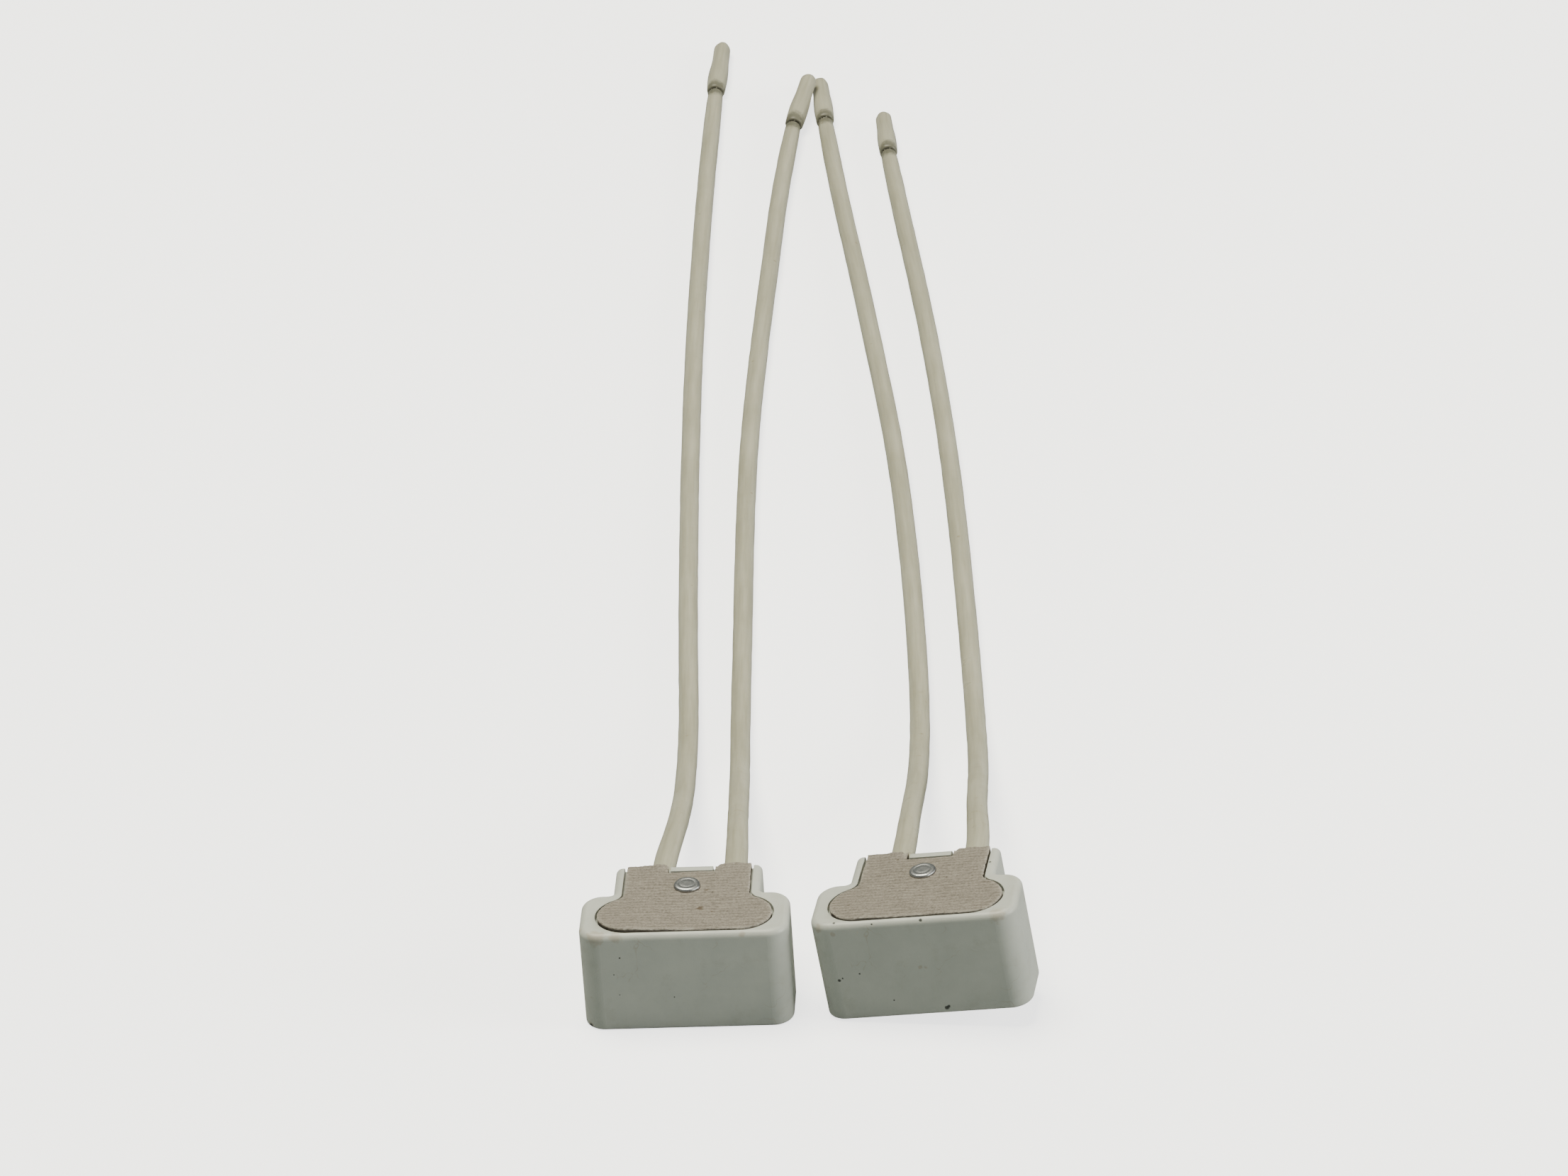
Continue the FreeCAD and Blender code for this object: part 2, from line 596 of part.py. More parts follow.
def tubePath(points):
    """Straight runs joined by tangent arcs. Each arc takes 0.45 of the shorter run beside it."""
    corners = [Vector(*point) for point in points]
    edges, radii = [], []
    last = corners[0]
    for before, corner, after in zip(corners, corners[1:], corners[2:]):
        back = (before - corner).normalize()
        ahead = (after - corner).normalize()
        halfTurn = (math.pi - back.getAngle(ahead)) / 2
        reach = 0.45 * min((before - corner).Length, (after - corner).Length)
        radius = reach / math.tan(halfTurn)
        inward = (back + ahead).normalize()
        start = corner + back * reach
        end = corner + ahead * reach
        middle = corner + inward * (radius / math.cos(halfTurn) - radius)
        edges.append(Part.LineSegment(last, start).toShape())
        edges.append(Part.Arc(start, middle, end).toShape())
        radii.append(radius)
        last = end
    edges.append(Part.LineSegment(last, corners[-1]).toShape())
    return Part.Wire(edges), radii


def makeLead(name, route):
    path, radii = tubePath(route)
    start = Vector(*route[0])
    heading = (Vector(*route[1]) - start).normalize()
    radius = d.leadRadius.value
    profile = Part.Wire(Part.Circle(start, heading, radius).toShape())
    tube = path.makePipeShell([profile], True, False)
    expected = math.pi * radius ** 2 * path.Length
    if abs(tube.Volume - expected) > 0.01 * expected:
        raise RuntimeError(f"{name} has volume {tube.Volume:.1f}, not {expected:.1f}")
    lead = doc.addObject("Part::Feature", name)
    lead.Shape = tube
    lead.Label = name
    print(f"{name}: {path.Length:.1f} long, arc radii", [round(value) for value in radii])
    return lead


def makeEndStrands(name, start, tip):
    """Bare strands from the lead's end into the slug, along a straight line to the tip."""
    along = Vector(*tip) - Vector(*start)
    strands = cylinder(name, *start, d.strandRadius, Size(along.Length) - d.tipCover,
                       Rotation(Vector(0, 0, 1), along))
    strands.Label = name
    return settle(strands)


def makeSlug(name, start, tip):
    """The piece of insulation left on the tip, bored for the strands and rounded at its end."""
    along = Vector(*tip) - Vector(*start)
    reach = Size(along.Length)
    turn = Rotation(Vector(0, 0, 1), along)
    first = Vector(*start) + along * (d.tipGap.value / along.Length)
    blank = cylinder(name + "_blank", first.x, first.y, first.z, d.leadRadius, reach - d.tipGap, turn)
    bore = cylinder(name + "_bore", *start, d.slugBoreRadius, reach - d.tipCover + 0.05, turn)
    bored = cut(name + "_bored", blank, bore)
    rounded = doc.addObject("Part::Fillet", name)
    rounded.Base = bored
    rounded.Edges = [(number, d.tipRadius.value, d.tipRadius.value)
                     for number, edge in enumerate(bored.Shape.Edges, start=1)
                     if edge.Closed and (edge.CenterOfMass - Vector(*tip)).Length < 0.01]
    rounded.Label = name
    return settle(rounded)


# ---- assembly --------------------------------------------------------------

def holderPlacement(side):
    """Left holder flat and square; right holder turned, and tilted onto its left bottom edge."""
    leftPlace = Vector(-d.leftHolderAcross.value, -d.leftHolderForward.value, 0)
    if side == "left":
        return Placement(leftPlace, Rotation())
    tilt = math.radians(d.rightTilt.value)
    edge = d.bodyWidth.value / 2 - d.baseRadius.value
    lift = edge * math.sin(tilt) + d.baseRadius.value * (1 - math.cos(tilt))
    turn = Rotation(Vector(0, 0, 1), -d.rightTurn.value)
    lean = Rotation(Vector(0, 1, 0), -d.rightTilt.value)
    across = Vector(d.holderSpacing.value, -d.holderStagger.value, lift)
    return Placement(leftPlace + across, turn.multiply(lean))


# Contact at the left and at the right of each holder, and where its lead lies.
contacts = {
    "left": [("outer", -1, -d.leftGrooveAcross + d.grooveSlack), ("inner", 1, d.rightGrooveAcross)],
    "right": [("inner", -1, -d.leftGrooveAcross - d.grooveSlack), ("outer", 1, d.rightGrooveAcross)],
}

nodes = []
for side in ("left", "right"):
    pieces = [makeCeramicBody(side + "_ceramic_body"), makeCoverPlate(side + "_cover_plate"),
              makeRivet(side + "_cover_rivet")]
    for rank, sign, leadAcross in contacts[side]:
        name = f"{side}_{rank}"
        pieces += [makeTerminal(name + "_terminal", leadAcross, sign),
                   makeContactLeaf(name + "_contact_leaf", sign),
                   makeSpringLeaf(name + "_spring_leaf", sign),
                   makeContactStud(name + "_contact_stud", sign),
                   makeCrimpedStrands(name + "_crimped_strands", leadAcross)]
    place = holderPlacement(side)
    for piece in pieces:
        piece.Placement = place.multiply(piece.Placement)
    nodes += pieces

for name, route in leadRoutes.items():
    nodes += [makeLead(name + "_lead", route),
              makeEndStrands(name + "_end_strands", route[-1], leadTips[name]),
              makeSlug(name + "_insulation_slug", route[-1], leadTips[name])]

doc.recompute()
for item in doc.Objects:
    if "Invalid" in item.State or "Error" in item.State:
        raise RuntimeError(f"{item.Label} is {item.State}")
for node in nodes:
    if node.Shape.isNull() or not node.Shape.isValid() or len(node.Shape.Solids) != 1:
        raise RuntimeError(f"{node.Label} is not one valid solid")

os.makedirs("parts", exist_ok=True)
for node in nodes:
    node.Shape.exportStep(f"parts/{node.Label}.step")
print(f"{len(nodes)} nodes written")
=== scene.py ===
import math

import bmesh
import bpy
import numpy as np
from mathutils import Matrix, Vector


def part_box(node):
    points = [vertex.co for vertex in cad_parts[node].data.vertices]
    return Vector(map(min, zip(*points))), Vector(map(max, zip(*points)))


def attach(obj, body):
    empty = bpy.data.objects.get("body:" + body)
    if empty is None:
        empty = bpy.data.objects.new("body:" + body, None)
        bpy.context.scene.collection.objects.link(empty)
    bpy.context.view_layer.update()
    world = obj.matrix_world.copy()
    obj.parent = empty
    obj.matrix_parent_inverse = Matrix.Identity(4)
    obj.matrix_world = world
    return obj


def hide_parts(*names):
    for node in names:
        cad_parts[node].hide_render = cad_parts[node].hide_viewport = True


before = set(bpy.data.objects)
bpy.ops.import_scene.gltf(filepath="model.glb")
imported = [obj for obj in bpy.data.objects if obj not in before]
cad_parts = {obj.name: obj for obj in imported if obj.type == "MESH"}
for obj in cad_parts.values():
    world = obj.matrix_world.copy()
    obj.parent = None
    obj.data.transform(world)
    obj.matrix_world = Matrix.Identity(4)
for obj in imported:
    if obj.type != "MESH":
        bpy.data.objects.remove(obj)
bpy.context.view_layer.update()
mm = 0.001
print("frame loaded,", len(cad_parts), "CAD nodes")


# camera, floor and light

cameraSetup = {
    "place": (0.06311, -0.83546, 0.53123),
    "heading": 4.35,  # degrees, turned left of +Y
    "down": 29.0,
    "roll": -3.85,
    "lens": 157.87,  # mm, as is the sensor's width
    "sensor": 36,
}
studio = {
    "floorSize": 6.0,
    "floorColour": (0.88, 0.88, 0.875, 1),
    "floorGlow": 2.2,  # lifts the floor as the camera sees it, not the light it throws back
    "bounceColour": (0.30, 0.325, 0.33, 1),
    "skyColour": (0.90, 1.0, 0.97, 1),
    "skyStrength": 0.14,
    "lampsAim": (0, 0.08, 0),
}
lamps = {
    "keyLamp": {"place": (-0.3, 0.22, 1.5), "size": 1.0, "power": 35, "colour": (1.0, 0.955, 0.77)},
    "sideLamp": {"place": (1.2, -0.2, 0.42), "size": 0.6, "power": 14, "colour": (1.0, 0.985, 0.90)},
}


def makeCamera():
    data = bpy.data.cameras.new("camera")
    data.lens = cameraSetup["lens"]
    data.sensor_width = cameraSetup["sensor"]
    data.clip_start = 0.01
    data.clip_end = 50
    camera = bpy.data.objects.new("camera", data)
    bpy.context.scene.collection.objects.link(camera)
    heading = Matrix.Rotation(math.radians(cameraSetup["heading"]), 4, "Z")
    nod = Matrix.Rotation(math.radians(90 - cameraSetup["down"]), 4, "X")
    roll = Matrix.Rotation(math.radians(cameraSetup["roll"]), 4, "Z")
    camera.matrix_world = Matrix.Translation(cameraSetup["place"]) @ heading @ nod @ roll
    bpy.context.scene.camera = camera


def makeStudio():
    half = studio["floorSize"] / 2
    mesh = bpy.data.meshes.new("floor")
    corners = [(-half, -half, 0), (half, -half, 0), (half, half, 0), (-half, half, 0)]
    mesh.from_pydata(corners, [], [(0, 1, 2, 3)])
    floor = bpy.data.objects.new("floor", mesh)
    bpy.context.scene.collection.objects.link(floor)
    paint = bpy.data.materials.new("floorPaint")
    paint.use_nodes = True
    nodes, links = paint.node_tree.nodes, paint.node_tree.links
    seen = nodes["Principled BSDF"]
    seen.inputs["Base Color"].default_value = studio["floorColour"]
    seen.inputs["Roughness"].default_value = 0.9
    seen.inputs["Emission Color"].default_value = (1, 1, 1, 1)
    seen.inputs["Emission Strength"].default_value = studio["floorGlow"]
    thrown = nodes.new("ShaderNodeBsdfDiffuse")
    thrown.inputs["Color"].default_value = studio["bounceColour"]
    rays, either = nodes.new("ShaderNodeLightPath"), nodes.new("ShaderNodeMixShader")
    links.new(rays.outputs["Is Camera Ray"], either.inputs["Fac"])
    links.new(thrown.outputs[0], either.inputs[1])
    links.new(seen.outputs[0], either.inputs[2])
    links.new(either.outputs[0], nodes["Material Output"].inputs["Surface"])
    mesh.materials.append(paint)

    world = bpy.data.worlds.new("studio")
    world.use_nodes = True
    sky = world.node_tree.nodes["Background"]
    sky.inputs["Color"].default_value = studio["skyColour"]
    sky.inputs["Strength"].default_value = studio["skyStrength"]
    bpy.context.scene.world = world

    for name, lamp in lamps.items():
        data = bpy.data.lights.new(name, "AREA")
        data.shape = "DISK"
        data.size = lamp["size"]
        data.energy = lamp["power"]
        data.color = lamp["colour"]
        light = bpy.data.objects.new(name, data)
        bpy.context.scene.collection.objects.link(light)
        light.location = lamp["place"]
        aim = Vector(studio["lampsAim"]) - Vector(lamp["place"])
        light.rotation_euler = aim.to_track_quat("-Z", "Y").to_euler()


makeCamera()
makeStudio()
print("camera, floor and lamps ready")


# leads: routes in metres, as the CAD tubes have them

lead = {
    "radius": 1.55 * mm, "bore": 0.62 * mm, "boreDepth": 1.2 * mm,
    "firstRun": 9 * mm, "grooveEnd": 4.0 * mm,  # the first run, and how much of it lies in the groove
    "step": 0.7 * mm, "ease": 3.5 * mm, "around": 36,
    "squeeze": 0.09, "squeezeAt": 9 * mm, "squeezeReach": 9 * mm,
    "endNeck": 0.13, "neckReach": 7 * mm, "uneven": 0.018, "unevenSize": 3.5,
}
leadRoutes = {
    "left_outer": [(-.02176, .0063, .01335), (-.02176, .0153, .01335), (-.0206, .027, .0119),
                   (-.0208, .042, .0076), (-.0215, .058, .0029), (-.0222, .076, .00155),
                   (-.0236, .098, .00155), (-.0252, .128, .00155), (-.0269, .164, .00155),
                   (-.0285, .206, .00155), (-.0295, .25, .00155), (-.0299, .28, .00155),
                   (-.03, .3034, .00155)],
    "left_inner": [(-.01106, .0063, .01335), (-.01106, .0153, .01335), (-.0117, .027, .0119),
                   (-.0125, .043, .0073), (-.0135, .06, .0026), (-.0144, .079, .00155),
                   (-.0152, .102, .00155), (-.0164, .132, .00155), (-.0174, .168, .00155),
                   (-.0172, .206, .00155), (-.0167, .236, .00155), (-.0164, .263, .0016),
                   (-.0151, .287, .0021)],
    "right_inner": [(.01243, .00621, .01445), (.01346, .01515, .01445), (.0137, .027, .013),
                    (.014, .042, .0086), (.0138, .058, .0036), (.0134, .076, .00155),
                    (.0123, .098, .00155), (.0103, .127, .00155), (.0072, .162, .00155),
                    (.0021, .202, .00155), (-.0024, .236, .00155), (-.0063, .264, .00155),
                    (-.0093, .2894, .00155)],
    "right_outer": [(.02338, .00494, .01578), (.02441, .01388, .01578), (.0235, .026, .0144),
                    (.0233, .042, .0096), (.0227, .059, .004), (.0217, .078, .00155),
                    (.0203, .101, .00155), (.0183, .131, .00155), (.0156, .165, .00155),
                    (.0121, .199, .00155), (.0086, .228, .00155), (.0053, .253, .00155),
                    (.0026, .2752, .00155)],
}
leadTips = {"left_outer": (-.02975, .3245, .00155), "left_inner": (-.0126, .3032, .0045),
            "right_inner": (-.0111, .3074, .00155), "right_outer": (.0011, .2918, .00155)}


def linkMesh(name, points, faces, flow=None):
    mesh = bpy.data.meshes.new(name)
    mesh.from_pydata(points.reshape(-1, 3), [], faces)
    if flow is not None:  # (cos, sin, distance in mm) round and along a sleeve, for its streaks
        layer = mesh.attributes.new("flow", "FLOAT_VECTOR", "POINT")
        layer.data.foreach_set("vector", flow.astype(np.float32).ravel())
    mesh.update()
    mesh.shade_smooth()
    piece = bpy.data.objects.new(name, mesh)
    bpy.context.scene.collection.objects.link(piece)
    return piece


def gridFaces(rows, columns):
    # quads between neighbouring points of a rows x columns grid whose last column joins the first
    i, j = np.meshgrid(np.arange(rows - 1), np.arange(columns), indexing="ij")
    k = (j + 1) % columns
    quads = np.stack([i * columns + j, i * columns + k, (i + 1) * columns + k, (i + 1) * columns + j], -1)
    return quads.reshape(-1, 4)


def mergeAndTurnOut(piece, reach=1e-7):
    work = bmesh.new()
    work.from_mesh(piece.data)
    bmesh.ops.remove_doubles(work, verts=work.verts, dist=reach)
    bmesh.ops.dissolve_degenerate(work, edges=work.edges, dist=reach)
    bmesh.ops.recalc_face_normals(work, faces=work.faces)
    work.to_mesh(piece.data)
    work.free()
    piece.data.update()


def softNoise(x, y, size, seed):
    # smooth random heights from -1 to 1: a lattice of seeded values, blended between its points
    table = np.random.default_rng(seed).uniform(-1, 1, (256, 256))
    a, b = x / size, y / size
    i, j = np.floor(a).astype(int), np.floor(b).astype(int)
    s, t = a - i, b - j
    s, t = s * s * (3 - 2 * s), t * t * (3 - 2 * t)
    low = table[i % 256, j % 256] * (1 - s) + table[(i + 1) % 256, j % 256] * s
    high = table[i % 256, (j + 1) % 256] * (1 - s) + table[(i + 1) % 256, (j + 1) % 256] * s
    return low * (1 - t) + high * t


def smoothRoute(name):
    # the route's smooth line: a NURBS spline with the route's points as its control points
    curve = bpy.data.curves.new(name + "_line", "CURVE")
    curve.dimensions = "3D"
    spline = curve.splines.new("NURBS")
    route = leadRoutes[name]
    spline.points.add(len(route) - 1)
    for point, place in zip(spline.points, route):
        point.co = (*place, 1)
    spline.order_u = 3
    spline.use_endpoint_u = True
    spline.resolution_u = 14
    carrier = bpy.data.objects.new(name + "_line", curve)
    mesh = bpy.data.meshes.new_from_object(carrier)
    points = np.empty(len(mesh.vertices) * 3)
    mesh.vertices.foreach_get("co", points)
    bpy.data.meshes.remove(mesh)
    bpy.data.objects.remove(carrier)
    bpy.data.curves.remove(curve)
    return points.reshape(-1, 3)


def sleeveTube(name, line, radiusAt, endRows, seed):
    # Tube: line(s) + r(s, a) (cos a * side + sin a * up), side level and square to the line.
    # radiusAt gives the (wide, high) half axes at distance s; endRows are (distance past the
    # end, share of the radius) rings that close the far end round its bore.
    step = np.linalg.norm(np.diff(line, axis=0), axis=1)
    distance = np.concatenate([[0], np.cumsum(step)])
    total = distance[-1]
    s = np.linspace(0, total, int(total / lead["step"]) + 1)
    centre = np.stack([np.interp(s, distance, line[:, k]) for k in range(3)], -1)
    reach = 16  # samples each side of the blur that eases the spline's joins
    blur = np.exp(-(np.arange(-reach, reach + 1) * lead["step"] / lead["ease"]) ** 2 / 2)
    blur /= blur.sum()
    padded = np.pad(centre, ((reach, reach), (0, 0)), "reflect", reflect_type="odd")
    centre = np.stack([np.convolve(padded[:, k], blur, "valid") for k in range(3)], -1)
    along = np.gradient(centre, axis=0)
    along /= np.linalg.norm(along, axis=1, keepdims=True)
    rows = np.concatenate([[0, 0], np.arange(len(s)), np.full(len(endRows), len(s) - 1)])
    share = np.concatenate([[0, 0.9], np.ones(len(s)), [row[1] for row in endRows]])
    past = np.concatenate([[0, 0], 0 * s, [row[0] for row in endRows]])
    centre, along = centre[rows] + along[rows] * past[:, None], along[rows]
    side = np.cross(along, (0, 0, 1))
    side /= np.linalg.norm(side, axis=1, keepdims=True)
    up = np.cross(side, along)
    angle = np.linspace(0, 2 * np.pi, lead["around"], endpoint=False)
    wide, high = radiusAt(s[rows], total)
    lumps = softNoise(s[rows][:, None] / mm, 2 + 2 * np.cos(angle), lead["unevenSize"], seed)
    uneven = 1 + lead["uneven"] * lumps
    cosine, sine = np.cos(angle) * share[:, None] * uneven, np.sin(angle) * share[:, None] * uneven
    points = (centre[:, None] + side[:, None] * (cosine * wide[:, None])[..., None]
              + up[:, None] * (sine * high[:, None])[..., None])
    flow = np.stack(np.broadcast_arrays(np.cos(angle), np.sin(angle), (s[rows] + past)[:, None] / mm), -1)
    piece = linkMesh(name, points, gridFaces(len(rows), lead["around"]), flow)
    mergeAndTurnOut(piece)
    return piece


def makeLead(name, seed):
    # round sleeve, pressed a little flat by the cover where it leaves the holder, drawn in at its cut end
    def radiusAt(s, total):
        press = lead["squeeze"] * np.exp(-((s - lead["squeezeAt"]) / lead["squeezeReach"]) ** 2)
        neck = 1 - lead["endNeck"] * np.exp(-(total - s) / lead["neckReach"])
        return lead["radius"] * neck * (1 + press), lead["radius"] * neck * (1 - press)

    line = smoothRoute(name)
    bore = lead["bore"] / lead["radius"]
    endRows = [(0.1 * mm, 0.97), (0.22 * mm, 0.88), (0.26 * mm, 0.74), (0.22 * mm, bore + 0.12),
               (0.1 * mm, bore), (-lead["boreDepth"], bore), (-lead["boreDepth"], 0)]
    piece = sleeveTube(name + "_lead_sleeve", line, radiusAt, endRows, seed)
    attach(piece, "holders")
    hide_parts(name + "_lead")
    return piece, line


leadPieces, leadLines = {}, {}
for seed, name in enumerate(leadRoutes, start=21):
    leadPieces[name], leadLines[name] = makeLead(name, seed)
print("leads laid")


def turned(name, profile, segments, frameMatrix, wobble, seed, streaked=False):
    # a profile of (radius, height) turned about an axis, uneven by wobble, a share of the radius
    profile = np.array(profile, float)
    angle = np.linspace(0, 2 * np.pi, segments, endpoint=False)
    radius, height = profile[:, :1], profile[:, 1:]
    uneven = 1 + wobble * softNoise(3 + 2 * np.cos(angle), 3 + 2 * np.sin(angle) + height / mm / 9, 1.0, seed)
    points = np.stack([radius * np.cos(angle) * uneven, radius * np.sin(angle) * uneven,
                       height + 0 * angle], -1)
    points = points.reshape(-1, 3) @ np.array(frameMatrix.to_3x3()).T + np.array(frameMatrix.translation)
    points[:, 2] = np.maximum(points[:, 2], 0.02 * mm)  # soft sides flatten on the table
    flow = np.stack(np.broadcast_arrays(np.cos(angle), np.sin(angle), height / mm), -1)
    piece = linkMesh(name, points, gridFaces(len(profile), segments), flow if streaked else None)
    mergeAndTurnOut(piece)
    return piece


# bare strands and insulation slugs at the tips

tip = {"gap": 2.6 * mm, "mouth": 0.9 * mm, "strand": 0.1 * mm, "bundle": 0.46 * mm, "outerStrands": 14,
       "innerStrands": 6, "innerRing": 0.52, "rows": 60, "sides": 8, "bulge": 1.5, "bulgeAt": 0.6 * mm,
       "bulgeReach": 0.27 * mm, "lay": 8 * mm, "intoSlug": 2.4 * mm, "intoLead": 1.1 * mm,
       "stretched": 1.04, "flare": 0.1, "flareEnd": 0.7, "taper": 0.08, "wobble": 0.05,
       "boreDepth": 2.6 * mm, "lip": 0.45 * mm, "dome": 2.1 * mm, "domeShape": 0.62}


def axisFrame(start, end):
    along = (Vector(end) - Vector(start)).normalized()
    return Matrix.Translation(start) @ along.to_track_quat("Z", "Y").to_matrix().to_4x4()


def makeStrands(name):
    # two rings of helical wires, the inner one wound the other way:
    # wire k of a ring lies at angle 2 pi (k / count + turn * height / lay)
    start, end = leadRoutes[name][-1], leadTips[name]
    place = axisFrame(start, end)
    around = tip["sides"]
    height = np.linspace(-tip["intoLead"], tip["gap"] + tip["intoSlug"], tip["rows"])
    wires = []
    for ring, count, turn in ((tip["bundle"], tip["outerStrands"], 1),
                              (tip["bundle"] * tip["innerRing"], tip["innerStrands"], -1)):
        k = np.arange(count)[:, None]
        # the bared strands bulge apart
        belly = np.exp(-((height - tip["bulgeAt"]) / tip["bulgeReach"]) ** 2)
        spread = 1 + belly * (tip["bulge"] + 0.22 * np.sin(k * 2.4 + height / mm))
        swing = 2 * np.pi * (k / count + turn * height / tip["lay"])
        centre = np.stack([ring * spread * np.cos(swing), ring * spread * np.sin(swing),
                           height + 0 * k], -1)
        wires.append(centre)
    centre = np.concatenate(wires)
    angle = np.linspace(0, 2 * np.pi, around, endpoint=False)
    circle = np.stack([np.cos(angle), np.sin(angle), 0 * angle], -1) * tip["strand"]
    points = centre[:, :, None, :] + circle
    ends = points.mean(2, keepdims=True) + 0 * points[:, :, :1, :]
    first, last = np.repeat(ends[:, :1], around, 2), np.repeat(ends[:, -1:], around, 2)
    points = np.concatenate([first, points, last], 1)
    count, rows = points.shape[:2]
    one = gridFaces(rows, around)
    faces = np.concatenate([one + k * rows * around for k in range(count)])
    flat = points.reshape(-1, 3) @ np.array(place.to_3x3()).T + np.array(place.translation)
    piece = linkMesh(name + "_strand_bundle", flat, faces)
    mergeAndTurnOut(piece, 1e-8)
    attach(piece, "holders")
    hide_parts(name + "_end_strands")
    return piece


def makeSlug(name, seed):
    # the offcut on the strands: a bored mouth towards the lead, widest a third of the way along,
    # then a soft taper to a round tip
    start, end = Vector(leadRoutes[name][-1]), Vector(leadTips[name])
    place = axisFrame(start, end)
    length = (end - start).length
    r, z = lead["radius"] * tip["stretched"], tip["mouth"]
    bore, depth, lip, dome = lead["bore"], tip["boreDepth"], tip["lip"], tip["dome"]
    mouth = [(0, z + depth), (bore, z + depth), (bore, z + 0.5 * mm), (bore * 1.25, z + 0.2 * mm),
             (0.62 * r, z + 0.02 * mm), (0.8 * r, z), (0.93 * r, z + 0.12 * mm), (r, z + lip)]
    body = []
    for k in np.linspace(0, 1, 26)[1:]:
        flare = tip["flare"] * math.sin(math.pi * min(k / tip["flareEnd"], 1))
        body.append((r * (1 + flare - tip["taper"] * k ** 2), z + lip + k * (length - z - dome - lip)))
    cap = []
    for k in np.linspace(0, math.pi / 2, 12)[1:-1]:
        across = (1 - tip["taper"]) * r * math.cos(k) ** tip["domeShape"]
        cap.append((across, length - dome + dome * math.sin(k)))
    cap.append((0, length))
    piece = turned(name + "_tip_sleeve", mouth + body + cap, 40, place, tip["wobble"], seed, streaked=True)
    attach(piece, "holders")
    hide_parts(name + "_insulation_slug")
    return piece


strandPieces, slugPieces = {}, {}
for seed, name in enumerate(leadRoutes, start=11):
    strandPieces[name] = makeStrands(name)
    slugPieces[name] = makeSlug(name, seed)
print("tips finished")


# holders: how each is turned, and its place, worked out from its CAD cover plate

holderTurns = {"left": (0.0, 0.0), "right": (-6.6, -6.9)}  # degrees about Z, then about Y
cover = {
    "width": 25.0, "depth": 8.7, "front": 1.15, "neck": 18.0, "end": 18.9, "hollow": 2.2,
    "under": 14.95, "thickness": 0.9, "notchLeft": -3.0, "notchRight": 3.8, "notchFront": 16.9,
    "rows": 230, "lift": 0.22, "warp": {"left": 0.4, "right": 0.16}, "ribPitch": 0.76, "ribHeight": 0.045,
    "leadsUnder": {"left": (-4.2, 6.5), "right": (-4.6, 6.5)}, "humpWidth": 1.7, "humpHeight": 0.15,
    "lipStart": 17.0, "lipLength": 1.9, "tearWidth": 0.32, "tearDepth": 0.5,
    "tearsBeside": (1.25, -2.5), "sagStart": 14.5, "sagLength": 3.5, "warpAt": (-9.5, 2), "warpReach": (6, 4),
    "edgeRound": 0.1, "edgeReach": 0.06, "wearReach": 0.2, "wave": 0.1, "weave": 0.028, "swell": 0.06,
}
rivet = {"back": 12.9, "head": 1.92, "headHeight": 0.5, "shank": 1.2, "hole": 1.3}


def holderFrame(side):
    # the holder's own axes, in millimetres, put where the CAD cover plate of that side lies
    turn, tilt = holderTurns[side]
    spin = np.array(Matrix.Rotation(math.radians(turn), 3, "Z") @ Matrix.Rotation(math.radians(tilt), 3, "Y"))
    low, high = (np.array(corner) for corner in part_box(side + "_cover_plate"))
    y, half = coverOutline(400)
    x = np.concatenate([half, -half])
    outline = np.stack([x, np.concatenate([y, y]), np.full(x.shape, cover["under"])], -1)
    plate = np.concatenate([outline, outline + (0, 0, cover["thickness"])]) @ spin.T * mm
    place = (low + high) / 2 - (plate.min(0) + plate.max(0)) / 2
    return spin, place


def coverOutline(rows):
    # half width of the board for each distance y from the front face: a round-ended front,
    # hollow corners, then the straight neck
    radius = cover["depth"] / 2
    reach = cover["width"] / 2 - radius
    middle = cover["front"] + radius
    neck = cover["neck"] / 2
    hollow = cover["hollow"]
    across = neck + hollow - reach  # hollow corner's centre, from the round end's centre
    rise = math.sqrt((radius + hollow) ** 2 - across ** 2)
    meet = middle + rise * radius / (radius + hollow)
    share = (meet - middle) / radius
    angle = np.linspace(-math.pi / 2, math.asin(share), rows // 2)
    front = middle + radius * np.sin(angle)
    rear = np.linspace(meet, cover["end"], rows - rows // 2 + 1)[1:]
    y = np.concatenate([front, rear])
    ends = reach + np.sqrt(np.clip(radius ** 2 - (y - middle) ** 2, 0, None))
    dip = neck + hollow - np.sqrt(np.clip(hollow ** 2 - (middle + rise - y) ** 2, 0, None))
    half = np.where(y <= meet, ends, np.where(y < middle + rise, dip, neck))
    return y, half


holders = {side: holderFrame(side) for side in holderTurns}
for side, (spin, place) in holders.items():
    print(side, "holder stands at", np.round(place / mm, 3))


